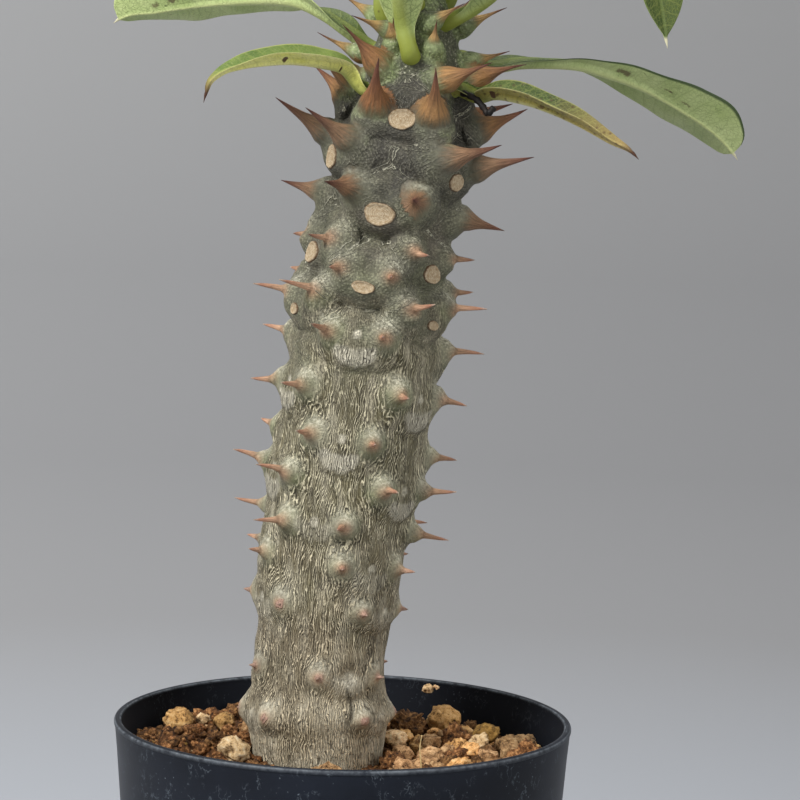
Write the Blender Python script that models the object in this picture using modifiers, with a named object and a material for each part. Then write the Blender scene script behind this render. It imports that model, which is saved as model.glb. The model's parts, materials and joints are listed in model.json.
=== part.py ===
"""A potted pachypodium: a thorny caudex trunk with a rosette of leaves, in gritty soil in a round pot.

Z is up, the origin is the middle of the pot's underside, and -Y is the side that faces the viewer.
Azimuths are in degrees, 0 towards -Y and 90 towards +X. Tables are in millimetres and degrees.
"""

import math
import random

import bmesh
import bpy
import numpy as np
from mathutils import Matrix, Vector

MM = 0.001
GAP = 0.3 * MM  # air between pieces that touch on the real plant

# Pot: a thin moulded shell, 105 mm across its rim.
POT_HEIGHT = 92 * MM
RIM_RADIUS = 52.5 * MM
BASE_RADIUS = 46.1 * MM
WALL = 1.9 * MM
FLOOR = 2.4 * MM
LIP_HEIGHT = 4.0 * MM
LIP_PROUD = 0.5 * MM
ROUND_STEPS = 40
DRAIN_HOLES = 6
DRAIN_RADIUS = 4.0 * MM
DRAIN_CIRCLE = 30.0 * MM

# Soil and the grit on it.
SOIL_TOP = 84.5 * MM
SOIL_SLOPE = 0.035  # the soil lies higher on the left
SOIL_DISH = 2.6 * MM  # and dips in front of the trunk
DISH_MIDDLE = (-6 * MM, -24 * MM)
DISH_RADIUS = 15 * MM
GRIT_SEED = 7
GRIT_TRIES = 1500
GRIT_RADIUS = (3.0, 4.5)
GRIT_SPACING = 0.88
GRIT_SHOULDER = 1.2 * MM  # stones keep this far from the trunk and the pot
HOLE_GAP = 0.45 * MM  # air round the trunk in its hole
HOLE_TOP = 100 * MM
HOLE_MOUTH = 17.75 * MM  # radius of the hole's cutter up there
# Stones that show in front and at the sides: x, y, radius.
CHOSEN_GRIT = (
    (24, 20, 4.2), (-38, 13, 4.2), (-24, -17, 3.6), (-23, -1, 2.8), (33, 11, 3.4), (15, 15, 3.6),
    (19.5, -4, 3.4), (26, -3.5, 3.6), (33, -3.5, 3.2), (38.5, -9, 3.2), (14, -17, 2.8), (21, -20, 2.6),
    (24.5, -13, 2.5), (-28, 21, 3.0), (-33, 18, 1.8), (13.5, 3, 2.6), (29, 17, 2.4),
)  # fmt: skip

# Trunk: height, middle of the trunk in x, radius. It leans towards +X and stands in a plain hole.
TRUNK = (
    (62, -5.6, 12.4), (76, -5.7, 14.2), (90, -5.8, 16.0), (94.5, -5.9, 16.8), (99, -5.8, 15.6),
    (105, -5.5, 14.8), (112, -5.1, 15.0), (120, -4.5, 16.0), (130, -3.3, 16.4), (140, -2.1, 16.8),
    (148, -0.9, 17.2), (156, 0.3, 17.0), (166, 1.8, 17.0), (178, 3.2, 17.0), (189, 4.2, 16.4),
    (198, 5.4, 14.9), (206, 6.9, 14.0), (213, 8.8, 14.4), (220, 10.0, 14.8), (227, 11.5, 14.3),
    (233, 12.4, 13.0), (239, 12.8, 11.2), (245, 13.1, 9.3), (250, 13.2, 7.6), (254, 13.3, 6.0),
    (257, 13.3, 4.0), (259, 13.3, 1.6),
)  # fmt: skip
TRUNK_SIDES = 20
TRUNK_RING = 6 * MM

# Leaf nodes stand in whorls of three, each whorl turned 60 degrees against the next. A node has two
# thorns and between them a leaf or the scar of one. From the top: height on the trunk's middle line,
# azimuth of the first node, sideways distance of a thorn from its node, thorn above scar, thorn length,
# rise of the thorn, splay (0 both thorns parallel, 1 radial), radius of the thorn's foot, and how much
# lower the two nodes at the back lie.
WHORLS = (
    (255.5, -8, 2.9, 0.5, 5.0, 70, 1.0, 1.2, 0),
    (251.5, 52, 4.6, 0.0, 12.5, 27, 0.7, 2.3, 0),
    (244.0, -8, 4.9, 1.0, 8.5, 58, 0.4, 2.2, 0),
    (237.5, 52, 5.5, 1.0, 15.0, 30, 0.5, 2.9, 1.5),
    (230.0, -8, 6.4, 0.5, 15.5, 50, 0.0, 4.4, 0),
    (218.5, 52, 5.8, 3.2, 17.0, 20, 0.6, 4.5, 0),
    (208.6, -8, 6.5, 4.5, 13.0, 0, 1.0, 4.3, 3.5),
    (197.5, 52, 6.4, 4.0, 7.5, 0, 1.2, 3.6, 0),
    (192.7, -8, 5.2, 3.3, 7.0, 0, 1.2, 3.4, 3.0),
    (185.5, 52, 6.6, 3.8, 10.5, 8, 1.2, 3.8, 0),
    (178.5, -8, 5.8, 3.8, 10.0, 4, 1.1, 3.6, 3.5),
    (165.5, 52, 6.8, 3.6, 8.0, -3, 1.2, 3.6, 0),
    (154.7, -8, 6.4, 4.0, 7.5, 4, 1.2, 3.6, 3.0),
    (145.3, 52, 6.8, 3.3, 9.0, 8, 1.2, 3.6, 0),
    (138.5, -18, 6.5, 1.0, 9.5, -2, 1.2, 3.4, 1.0),
    (128.3, 33, 7.0, 2.0, 5.5, 3, 1.2, 3.2, 0),
    (119.0, -64, 7.0, 1.0, 3.0, 0, 1.0, 3.0, 0),
    (104.0, 27, 7.0, 0.6, 3.0, 2, 1.0, 2.8, 0),
    (94.0, -62, 6.0, 0.6, 1.8, 0, 1.0, 2.8, 0),
)
# Thorns that grew off the rule. Whorl, node, side: turned, raised, lengthened, moved up.
STRAYS = {
    (1, 0, -1): (25, 0, 0, -1), (1, 0, 1): (5, 0, 1, -2), (1, 2, 1): (-20, -10, 1, -3),
    (2, 0, -1): (20, 0, 0, 0), (2, 1, -1): (-10, -40, 3, -2), (2, 2, 1): (20, -38, 5, -2),
    (3, 2, 1): (-4, 10, 0, 3), (3, 0, -1): (20, -8, 0, 0), (3, 0, 1): (7, -8, 0, 0),
    (4, 1, -1): (-5, -20, -1, -1), (4, 2, 1): (0, -20, -1, 0), (4, 1, 1): (-15, -26, 0, 0),
    (4, 2, -1): (15, -28, 0, 1), (5, 0, -1): (14, 4, 1, 1), (5, 0, 1): (0, 4, 0, 0),
    (6, 0, 1): (-25, 4, -4, 0), (6, 1, -1): (0, 2, -1, 2), (6, 2, 1): (-8, -3, -1, -1),
    (7, 2, -1): (-7, -6, -2, -1), (7, 2, 1): (-14, 0, 1, 0), (7, 0, -1): (13, 0, 0, 1),
    (7, 0, 1): (0, 7, 0, 0), (8, 0, 1): (-12, 3, 0, 0), (8, 1, -1): (0, 7, 0, 0),
    (8, 2, 1): (-15, -3, -2, 0), (9, 0, -1): (11, 5, 0, 0), (9, 2, -1): (0, -5, 0, -1),
    (9, 2, 1): (-17, 0, 1, 1), (10, 0, -1): (0, 7, 0, 0), (10, 0, 1): (-15, 2, 0, 0),
    (10, 2, 1): (-14, 0, -1, 0), (11, 0, -1): (-5, 5, 0, 1), (11, 2, -1): (0, -5, 0, -1),
    (11, 2, 1): (-8, 4, 0, 0), (12, 0, 1): (-12, 3, 0, 0), (12, 2, 1): (-18, 0, -2, 1),
    (13, 2, 1): (-16, 0, 1, 0), (14, 0, -1): (-10, 0, 0, -1), (14, 0, 1): (-19, 4, 0, 0),
    (16, 0, 1): (19, 0, -1, 0),
}  # fmt: skip
THORN_SINK = 3.0 * MM
SINK_FLARE = 1.12  # how much wider a thorn is at its buried end than at its foot
LONG_THORN = 10 * MM  # thorns from this length have more rings and sides
# Rings of a thorn between its foot and its tip: share of the foot's radius, share of the length.
LONG_RINGS, LONG_SIDES = ((0.2, 0.58), (0.55, 0.28)), 7
SHORT_RINGS, SHORT_SIDES = ((0.3, 0.5),), 5
SCARRED_WHORLS = range(4, 9)
SCAR_RADIUS = 2.6 * MM
SCAR_PROUD = 0.5 * MM
SCAR_RIM = 0.8

# Leaves: whorl and node they grow from, heading, half width, fold of the blade at the petiole and at
# the tip, roll at the tip, and the midrib's route as reach from the crown's axis and height.
LEAVES = {
    "leaf_left_low": ((3, 2), -72, 4.3, 62, 50, 0,
        ((16, 241.2), (21, 242.9), (32, 241.9), (41, 239.1), (46.6, 235.8), (48.6, 232.8))),
    "leaf_right_low": ((3, 0), 62, 5.2, 60, 45, 0,
        ((16, 237.0), (26, 235.6), (38, 231.1), (46, 228.0), (53.2, 224.6))),
    "leaf_front": ((2, 0), -18, 9.5, 20, 12, 0,
        ((11.5, 251), (16.5, 261), (27, 279), (41, 294), (58, 302))),
    "leaf_right": ((2, 1), 108, 9.2, 52, 22, -46,
        ((17, 244.2), (23, 244.7), (34.5, 243.6), (47.4, 240.6), (58.5, 235.3), (78.4, 223.4))),
    "leaf_left": ((2, 2), -118, 9.6, 50, 22, 46,
        ((16, 246.6), (22, 249.8), (35.4, 253.5), (49, 255.0), (69.6, 252.8), (81, 248.4))),
    "leaf_arching": ((1, 0), 62, 9.2, 35, 20, 0,
        ((17.5, 257.6), (28, 269), (42, 277), (54, 270), (61.5, 249.5))),
    "leaf_inner_left": ((1, 2), -62, 8.6, 30, 15, 10,
        ((9.5, 262), (15, 278), (25, 295), (40, 306), (54, 308))),
    "leaf_inner_back": ((1, 1), 168, 8.8, 30, 15, 0,
        ((11, 261), (19, 276), (31, 290), (46, 299), (62, 301))),
    "leaf_young_front": ((0, 0), -20, 6.6, 30, 20, 0,
        ((6, 268), (10, 283), (17, 298), (27, 309))),
    "leaf_young_right": ((0, 1), 106, 6.8, 30, 20, 0,
        ((6.5, 268), (12, 284), (21, 299), (33, 310))),
    "leaf_young_left": ((0, 2), -134, 6.4, 30, 20, 0,
        ((6.2, 268), (11, 284), (19, 300), (29, 312))),
}  # fmt: skip
LEAF_THICKNESS = 0.7 * MM
MIDRIB_THICKNESS = 2.6 * MM
MIDRIB_TIP = 1.0 * MM
PETIOLE_RADIUS = 1.7 * MM
MUCRO = 0.4 * MM
PETIOLE_RISE = 2.2 * MM  # how far the petiole stands straight out before it bends up
# Outline of a blade: place along the leaf, share of the half width.
OUTLINE = (
    (0.10, 0.0), (0.2, 0.42), (0.35, 0.62), (0.55, 0.82), (0.78, 1.0), (0.91, 0.92), (0.97, 0.6), (1.0, 0.0),
)  # fmt: skip
LEAF_STATIONS = (0, 0.035, 0.1, 0.2, 0.32, 0.45, 0.58, 0.7, 0.82, 0.91, 0.97, 1)
LEAF_COLUMNS = (-1, -0.45, 0, 0.45, 1)
FOLD_FROM = 0.12  # the blade's fold is full from this share of the leaf's length
STALK_REACH = 1.6  # the leaf is thicker than its blade up to this many petiole radii from the midrib


def clear_scene():
    for obj in list(bpy.data.objects):
        bpy.data.objects.remove(obj)


def new_collection(name):
    collection = bpy.data.collections.new(name)
    bpy.context.scene.collection.children.link(collection)
    return collection


def new_material(name, colour, roughness):
    material = bpy.data.materials.new(name)
    material.use_nodes = True
    shader = material.node_tree.nodes["Principled BSDF"]
    shader.inputs["Base Color"].default_value = (*colour, 1)
    shader.inputs["Roughness"].default_value = roughness
    shader.inputs["Metallic"].default_value = 0
    return material


def mesh_object(name, bm, collection, matrix=None):
    mesh = bpy.data.meshes.new(name)
    bm.to_mesh(mesh)
    bm.free()
    obj = bpy.data.objects.new(name, mesh)
    collection.objects.link(obj)
    if matrix:
        obj.matrix_world = matrix
    return obj


def baked(obj):
    """The object with its modifiers or its bevel turned into a plain mesh."""
    bpy.context.view_layer.update()
    graph = bpy.context.evaluated_depsgraph_get()
    mesh = bpy.data.meshes.new_from_object(obj.evaluated_get(graph))
    bm = bmesh.new()
    bm.from_mesh(mesh)
    bmesh.ops.remove_doubles(bm, verts=bm.verts, dist=0.001 * MM)
    bpy.data.meshes.remove(mesh)
    name, collection, matrix = obj.name, obj.users_collection[0], obj.matrix_world.copy()
    bpy.data.objects.remove(obj)
    return mesh_object(name, bm, collection, matrix)


def turned(name, profile, steps, collection):
    """A profile of (radius, height) points, down its outer side, turned round Z."""
    bm = bmesh.new()
    points = [bm.verts.new((radius, 0, height)) for radius, height in profile]
    for above, below in zip(points, points[1:]):
        bm.edges.new((above, below))
    obj = mesh_object(name, bm, collection)
    screw = obj.modifiers.new("Turn", "SCREW")
    screw.steps = screw.render_steps = steps
    screw.use_merge_vertices = True
    screw.merge_threshold = 0.01 * MM
    return obj


def joined(obj, repeats):
    """The object with every solid of the collection fused to it."""
    union = obj.modifiers.new("Join", "BOOLEAN")
    union.operation = "UNION"
    union.operand_type = "COLLECTION"
    union.collection = repeats
    union.solver = "MANIFOLD"
    whole = baked(obj)
    for piece in list(repeats.objects):
        bpy.data.objects.remove(piece)
    return whole


def cut(obj, cutter):
    cutter.hide_render = True
    cutter.display_type = "WIRE"
    difference = obj.modifiers.new("Cut " + cutter.name, "BOOLEAN")
    difference.operation = "DIFFERENCE"
    difference.object = cutter


def finished(obj, material, sharp_degrees=50):
    obj.data.materials.clear()
    obj.data.materials.append(material)
    obj.data.shade_smooth()
    obj.data.set_sharp_from_angle(angle=math.radians(sharp_degrees))


def pot_inner_radius(height):
    slope = (RIM_RADIUS - LIP_PROUD - BASE_RADIUS) / POT_HEIGHT
    return BASE_RADIUS + slope * height - WALL


def make_pot(collection, cutters, material):
    lip_foot = POT_HEIGHT - LIP_HEIGHT
    bead = 0.8 * MM
    profile = (
        (0, FLOOR),
        (pot_inner_radius(FLOOR), FLOOR),
        (pot_inner_radius(lip_foot), lip_foot),
        (RIM_RADIUS - 2.6 * MM, POT_HEIGHT - bead),
        (RIM_RADIUS - 1.9 * MM, POT_HEIGHT),
        (RIM_RADIUS - bead, POT_HEIGHT),
        (RIM_RADIUS, POT_HEIGHT - bead),
        (RIM_RADIUS, POT_HEIGHT - 2 * bead),
        (RIM_RADIUS - 0.2 * MM, lip_foot + bead),
        (pot_inner_radius(lip_foot) + WALL, lip_foot),
        (BASE_RADIUS + 0.15 * MM, 1.5 * MM),
        (BASE_RADIUS - 1.2 * MM, 0),
        (0, 0),
    )
    pot = baked(turned("pot", profile, ROUND_STEPS, collection))
    for number in range(DRAIN_HOLES):
        turn = 2 * math.pi * number / DRAIN_HOLES
        bm = bmesh.new()
        bmesh.ops.create_cone(
            bm, cap_ends=True, segments=12, radius1=DRAIN_RADIUS, radius2=DRAIN_RADIUS, depth=4 * FLOOR
        )
        spot = Matrix.Translation((DRAIN_CIRCLE * math.sin(turn), DRAIN_CIRCLE * math.cos(turn), 0))
        cut(pot, mesh_object(f"drain_{number + 1}", bm, cutters, spot))
    finished(pot, material, 35)
    return pot


def stone_places():
    """The chosen stones, then seeded ones wherever they fit between the trunk and the pot."""
    draw = random.Random(GRIT_SEED)
    stones = [(x * MM, y * MM, radius * MM) for x, y, radius in CHOSEN_GRIT]
    middle, trunk_radius = trunk_at(SOIL_TOP + 2 * MM)
    for _ in range(GRIT_TRIES):
        radius = draw.uniform(*GRIT_RADIUS) * MM
        turn = draw.uniform(0, 2 * math.pi)
        far = math.sqrt(draw.uniform(0.08, 1)) * pot_inner_radius(SOIL_TOP)
        x, y = far * math.sin(turn), far * math.cos(turn)
        if far + radius + GRIT_SHOULDER > pot_inner_radius(SOIL_TOP):
            continue
        if math.hypot(x - middle, y) < trunk_radius + radius + GRIT_SHOULDER:
            continue
        if any(math.hypot(x - a, y - b) < GRIT_SPACING * (radius + c) for a, b, c in stones):
            continue
        stones.append((x, y, radius))
    return stones


def soil_height(x, y):
    ripple = 0.5 * MM * math.sin(x / (6 * MM) + 1) * math.cos(y / (7 * MM))
    away = math.hypot(x - DISH_MIDDLE[0], y - DISH_MIDDLE[1]) / DISH_RADIUS
    return SOIL_TOP - SOIL_SLOPE * x + ripple - SOIL_DISH * math.exp(-away * away)


def make_soil(collection, cutters, material):
    draw = random.Random(GRIT_SEED + 1)
    clear = POT_HEIGHT - LIP_HEIGHT - 2 * MM
    bottom = FLOOR + GAP
    edge = pot_inner_radius(SOIL_TOP) - GAP
    profile = [(share * edge, SOIL_TOP) for share in (0, 0.3, 0.5, 0.7, 0.86, 1)]
    profile += [(pot_inner_radius(bottom) - GAP, bottom), (0, bottom)]
    soil = baked(turned("soil", profile, ROUND_STEPS, collection))
    for vertex in soil.data.vertices:
        x, y, z = vertex.co
        if z > SOIL_TOP - 0.1 * MM and math.hypot(x, y) < pot_inner_radius(SOIL_TOP) - 1 * MM:
            vertex.co.z = min(soil_height(x, y), clear)
    stones = new_collection("stones")
    for number, (x, y, radius) in enumerate(stone_places()):
        bm = bmesh.new()
        bmesh.ops.create_icosphere(bm, subdivisions=1, radius=radius)
        for vertex in bm.verts:
            vertex.co *= draw.uniform(0.88, 1.08)
        turn = Matrix.Rotation(draw.uniform(0, math.tau), 4, "Z")
        turn @= Matrix.Rotation(draw.uniform(-0.5, 0.5), 4, "X")
        flat = Matrix.Diagonal((1, draw.uniform(0.82, 1), draw.uniform(0.72, 0.9), 1))
        height = min(soil_height(x, y) + 0.15 * radius, clear + 0.5 * MM)
        place = Matrix.Translation((x, y, height))
        mesh_object(f"stone_{number + 1}", bm, stones, place @ turn @ flat)
    soil = joined(soil, stones)
    low, middle = TRUNK[0][0] * MM - GAP, TRUNK[1][1] * MM
    bm = bmesh.new()
    bmesh.ops.create_cone(
        bm,
        cap_ends=True,
        segments=TRUNK_SIDES,
        radius1=TRUNK[0][2] * MM + HOLE_GAP,
        radius2=HOLE_MOUTH,
        depth=HOLE_TOP - low,
    )
    cut(soil, mesh_object("trunk_hole", bm, cutters, Matrix.Translation((middle, 0, (HOLE_TOP + low) / 2))))
    finished(soil, material, 30)
    return soil


def trunk_at(height):
    """The trunk's middle in x and its radius at this height, on a smooth curve through TRUNK."""
    rows = np.array(TRUNK) * MM
    slopes = np.gradient(rows[:, 1:], rows[:, 0], axis=0)
    first = int(np.clip(np.searchsorted(rows[:, 0], height) - 1, 0, len(rows) - 2))
    span = rows[first + 1, 0] - rows[first, 0]
    t = (height - rows[first, 0]) / span
    middle, radius = (
        (2 * t**3 - 3 * t**2 + 1) * rows[first, 1:]
        + (t**3 - 2 * t**2 + t) * span * slopes[first]
        + (3 * t**2 - 2 * t**3) * rows[first + 1, 1:]
        + (t**3 - t**2) * span * slopes[first + 1]
    )
    return float(middle), float(radius)


def trunk_axes(height):
    """Unit vectors across the trunk to the right, across it to the viewer, and up along it."""
    step = 0.5 * MM
    lean = math.atan((trunk_at(height + step)[0] - trunk_at(height - step)[0]) / (2 * step))
    right = Vector((math.cos(lean), 0, -math.sin(lean)))
    up = Vector((math.sin(lean), 0, math.cos(lean)))
    return right, Vector((0, -1, 0)), up


def on_trunk(height, azimuth):
    """The point of the trunk's surface there."""
    middle, radius = trunk_at(height)
    right, front, _ = trunk_axes(height)
    turn = math.radians(azimuth)
    return Vector((middle, 0, height)) + radius * (math.sin(turn) * right + math.cos(turn) * front)


def out_of_trunk(height, azimuth):
    """The surface's outward normal there."""
    step = 0.5 * MM
    along = on_trunk(height + step, azimuth) - on_trunk(height - step, azimuth)
    around = on_trunk(height, azimuth + 1) - on_trunk(height, azimuth - 1)
    return around.cross(along).normalized()


def node_of(whorl, number):
    """Height and azimuth of one of a whorl's three nodes."""
    height, turn, *_, drop = WHORLS[whorl]
    return (height - (drop if number else 0)) * MM, turn + 120 * number


def thorn_of(whorl, number, side):
    """Foot, direction, length and foot radius of a thorn."""
    _, _, sideways, above, length, rise, splay, foot_radius, _ = WHORLS[whorl]
    turned_by, raised, longer, higher = STRAYS.get((whorl, number, side), (0, 0, 0, 0))
    height, azimuth = node_of(whorl, number)
    spread = side * math.degrees(math.asin(sideways * MM / trunk_at(height)[1]))
    height += (above + higher) * MM
    foot = on_trunk(height, azimuth + spread)
    right, front, up = trunk_axes(height)
    turn = math.radians(azimuth + spread * splay + turned_by)
    lift = math.radians(rise + raised)
    level = math.sin(turn) * right + math.cos(turn) * front
    return foot, math.cos(lift) * level + math.sin(lift) * up, (length + longer) * MM, foot_radius * MM


def standing(foot, direction):
    """The matrix that stands a shape made along Z on this foot, along this direction."""
    return Matrix.Translation(foot) @ direction.to_track_quat("Z", "Y").to_matrix().to_4x4()


def make_trunk(collection, material):
    route = bpy.data.curves.new("trunk", "CURVE")
    route.dimensions = "3D"
    route.bevel_depth = 1
    route.bevel_resolution = (TRUNK_SIDES - 4) // 2
    route.use_fill_caps = True
    bottom, top = TRUNK[0][0] * MM, TRUNK[-1][0] * MM
    heights = np.linspace(bottom, top, round((top - bottom) / TRUNK_RING) + 1)
    spline = route.splines.new("POLY")
    spline.points.add(len(heights) - 1)
    for point, height in zip(spline.points, heights):
        middle, radius = trunk_at(height)
        point.co = (middle, 0, height, 1)
        point.radius = radius
    core = bpy.data.objects.new("trunk", route)
    collection.objects.link(core)
    core = baked(core)
    thorns = new_collection("thorns")
    for whorl in range(len(WHORLS)):
        for number in range(3):
            for side in (-1, 1):
                foot, direction, length, foot_radius = thorn_of(whorl, number, side)
                long = length >= LONG_THORN
                rings, sides = (LONG_RINGS, LONG_SIDES) if long else (SHORT_RINGS, SHORT_SIDES)
                profile = [(0, length), *((wide * foot_radius, high * length) for wide, high in rings)]
                profile += [(SINK_FLARE * foot_radius, -THORN_SINK), (0, -THORN_SINK)]
                thorn = baked(turned(f"thorn_{whorl}_{number}_{side}", profile, sides, thorns))
                thorn.matrix_world = standing(foot, direction)
    for whorl in SCARRED_WHORLS:
        for number in range(3):
            height, azimuth = node_of(whorl, number)
            out = out_of_trunk(height, azimuth)
            bm = bmesh.new()
            bmesh.ops.create_cone(
                bm,
                cap_ends=True,
                segments=8,
                radius1=SCAR_RADIUS,
                radius2=SCAR_RIM * SCAR_RADIUS,
                depth=4 * SCAR_PROUD,
            )
            place = standing(on_trunk(height, azimuth) - SCAR_PROUD * out, out)
            mesh_object(f"scar_{whorl}_{number}", bm, thorns, place)
    trunk = joined(core, thorns)
    finished(trunk, material, 60)
    return trunk


def along(points, t):
    """The place at share t of a smooth route through the points."""
    chords = np.linalg.norm(np.diff(points, axis=0), axis=1)
    marks = np.concatenate([[0], np.cumsum(chords)])
    slopes = np.gradient(points, marks, axis=0)
    at = t * marks[-1]
    first = int(np.clip(np.searchsorted(marks, at) - 1, 0, len(points) - 2))
    span = marks[first + 1] - marks[first]
    u = (at - marks[first]) / span
    return (
        (2 * u**3 - 3 * u**2 + 1) * points[first]
        + (u**3 - 2 * u**2 + u) * span * slopes[first]
        + (3 * u**2 - 2 * u**3) * points[first + 1]
        + (u**3 - u**2) * span * slopes[first + 1]
    )


def leaf_half_width(t, widest):
    places, shares = zip(*OUTLINE)
    blade = widest * float(np.interp(t, places, shares))
    stalk = PETIOLE_RADIUS if t < 0.9 else MUCRO
    return math.hypot(stalk, blade)


def make_leaf(name, collection, material):
    node, heading, widest, fold_foot, fold_tip, roll_tip, route = LEAVES[name]
    height, azimuth = node_of(*node)
    out = out_of_trunk(height, azimuth)
    seat = on_trunk(height, azimuth) + 1.2 * GAP * out
    turn = math.radians(heading)
    crown = TRUNK[-1][1] * MM
    points = [seat, seat + PETIOLE_RISE * out]
    for reach, level in route:
        points.append((crown + reach * MM * math.sin(turn), -reach * MM * math.cos(turn), level * MM))
    points = np.array(points)
    bm = bmesh.new()
    rows, thick = [], []
    for t in LEAF_STATIONS:
        here = Vector(along(points, t))
        ahead = Vector(along(points, min(t + 0.01, 1)) - along(points, max(t - 0.01, 0))).normalized()
        sideways = Vector((math.cos(turn), math.sin(turn), 0))
        sideways = (sideways - sideways.dot(ahead) * ahead).normalized()
        above = ahead.cross(sideways)
        ease = t * t * (3 - 2 * t)
        roll = math.radians(roll_tip) * ease
        fold = math.radians(fold_foot + (fold_tip - fold_foot) * ease) * min(1, t / FOLD_FROM)
        across = math.cos(roll) * sideways + math.sin(roll) * above
        upward = math.cos(roll) * above - math.sin(roll) * sideways
        half = leaf_half_width(t, widest * MM)
        midrib = MIDRIB_THICKNESS + (MIDRIB_TIP - MIDRIB_THICKNESS) * min(1, t / 0.9)
        row = []
        for share in LEAF_COLUMNS:
            reach = half * abs(share)
            place = here + reach * (math.copysign(math.cos(fold), share) * across + math.sin(fold) * upward)
            row.append(bm.verts.new(place))
            bulk = max(0, 1 - reach / (STALK_REACH * PETIOLE_RADIUS)) if t < 1 else 0
            thick.append(LEAF_THICKNESS + (midrib - LEAF_THICKNESS) * bulk)
        rows.append(row)
    for near, far in zip(rows, rows[1:]):
        for left, right, right_far, left_far in zip(near, near[1:], far[1:], far):
            bm.faces.new((left, right, right_far, left_far))
    bmesh.ops.recalc_face_normals(bm, faces=bm.faces)
    bmesh.ops.triangulate(bm, faces=bm.faces, quad_method="FIXED")
    leaf = mesh_object(name, bm, collection)
    weights = leaf.vertex_groups.new(name="thickness")
    for index, value in enumerate(thick):
        weights.add([index], value / MIDRIB_THICKNESS, "REPLACE")
    solidify = leaf.modifiers.new("Thickness", "SOLIDIFY")
    solidify.thickness = MIDRIB_THICKNESS
    solidify.offset = 0
    solidify.vertex_group = "thickness"
    finished(leaf, material, 70)
    return leaf


def main():
    clear_scene()
    plant = new_collection("potted_pachypodium")
    cutters = new_collection("cutters")
    make_pot(plant, cutters, new_material("black_polypropylene", (0.018, 0.02, 0.026), 0.5))
    make_soil(plant, cutters, new_material("gritty_soil", (0.31, 0.17, 0.085), 0.9))
    make_trunk(plant, new_material("grey_green_bark", (0.25, 0.25, 0.17), 0.65))
    green = new_material("leaf_green", (0.16, 0.27, 0.06), 0.42)
    for name in LEAVES:
        make_leaf(name, plant, green)


main()
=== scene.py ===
"""A potted pachypodium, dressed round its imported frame.

Metres, +Z up, -Y towards the viewer. Tables are in millimetres and degrees, as in the part's own source.
Azimuths turn from 0 at -Y to 90 at +X.
"""

import json
import math
import random

import bmesh
import bpy
import numpy as np
from mathutils import Matrix, Vector, noise

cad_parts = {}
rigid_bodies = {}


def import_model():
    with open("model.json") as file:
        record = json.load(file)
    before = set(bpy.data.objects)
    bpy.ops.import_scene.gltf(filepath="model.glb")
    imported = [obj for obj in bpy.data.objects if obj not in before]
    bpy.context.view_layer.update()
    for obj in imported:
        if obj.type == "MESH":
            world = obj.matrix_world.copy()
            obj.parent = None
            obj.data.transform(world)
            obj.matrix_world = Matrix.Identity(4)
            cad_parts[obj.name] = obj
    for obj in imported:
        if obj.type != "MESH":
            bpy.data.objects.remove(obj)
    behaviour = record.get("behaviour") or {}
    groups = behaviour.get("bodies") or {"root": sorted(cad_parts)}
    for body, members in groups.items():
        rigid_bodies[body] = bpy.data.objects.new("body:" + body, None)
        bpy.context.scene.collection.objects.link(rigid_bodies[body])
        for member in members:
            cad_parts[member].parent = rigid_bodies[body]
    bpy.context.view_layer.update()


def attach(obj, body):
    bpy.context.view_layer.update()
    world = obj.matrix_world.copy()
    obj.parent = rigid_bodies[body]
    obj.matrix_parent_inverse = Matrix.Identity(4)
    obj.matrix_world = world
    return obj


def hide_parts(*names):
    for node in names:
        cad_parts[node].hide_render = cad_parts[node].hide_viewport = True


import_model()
MM = 0.001


# Camera
# A long lens 75 cm in front of the trunk's foot and level with the crown. It looks a little down, and
# is turned and rolled by the small angles that the rim of the pot shows.
CAMERA_PLACE = Vector((0, -750, 254.81)) * MM
YAW, PITCH, ROLL = (math.radians(angle) for angle in (0.864, 6.749, 1.410))
PICTURE_SIDE = 800
FOCAL_PIXELS = 3320.16
SENSOR = 36  # mm
NEAREST = 10 * MM


def place_camera():
    forward = Vector((math.sin(YAW) * math.cos(PITCH), math.cos(YAW) * math.cos(PITCH), -math.sin(PITCH)))
    level = Vector((math.cos(YAW), -math.sin(YAW), 0))
    upright = level.cross(forward)
    right = math.cos(ROLL) * level + math.sin(ROLL) * upright
    up = math.cos(ROLL) * upright - math.sin(ROLL) * level
    data = bpy.data.cameras.new("camera")
    data.sensor_width = SENSOR
    data.lens = FOCAL_PIXELS / PICTURE_SIDE * SENSOR
    data.clip_start = NEAREST
    camera = bpy.data.objects.new("camera", data)
    heading = Matrix((right, up, -forward)).transposed().to_4x4()
    camera.matrix_world = Matrix.Translation(CAMERA_PLACE) @ heading
    bpy.context.scene.collection.objects.link(camera)
    bpy.context.scene.camera = camera


place_camera()


# Studio
# A round sweep of matte grey paper, open at the top: a floor, a soft rise, a wall well behind the camera's
# place on every side. Its colour holds painted light: paler near the plant, darker further out on the floor,
# paler up the wall, and falling off from left to right. A large softbox from the upper left, a weak one from
# the right.
SWEEP = ((1900, 1900), (1880, 900), (1800, 520), (1600, 240), (1300, 90), (950, 20), (600, 0), (0, 0))
SWEEP_STEPS = 96
PAPER_NEAR, PAPER_FLOOR, PAPER_WALL = "#a0a3a8", "#959596", "#a5a5a5"
NEAR_TO_FLOOR = (300 * MM, 620 * MM)  # distances from the plant over which the colour changes
FLOOR_TO_WALL = (20 * MM, 250 * MM)  # and heights
PAINTED_FALLOFF = (-300 * MM, 300 * MM, 1.05, 0.8)  # places in x, and how bright the paper is painted there: painted light falling off to the right
KEY = ((-1150, -1000, 1500), 600, 46)  # place, side, watts
FILL = ((1250, -900, 700), 1100, 13)
TOP = ((60, 500, 1700), 1200, 14)
LIT_POINT = (0, 0, 180)  # what the softboxes are turned to
AIR = "#dfe3ea"
AIR_STRENGTH = 0.36


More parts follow.
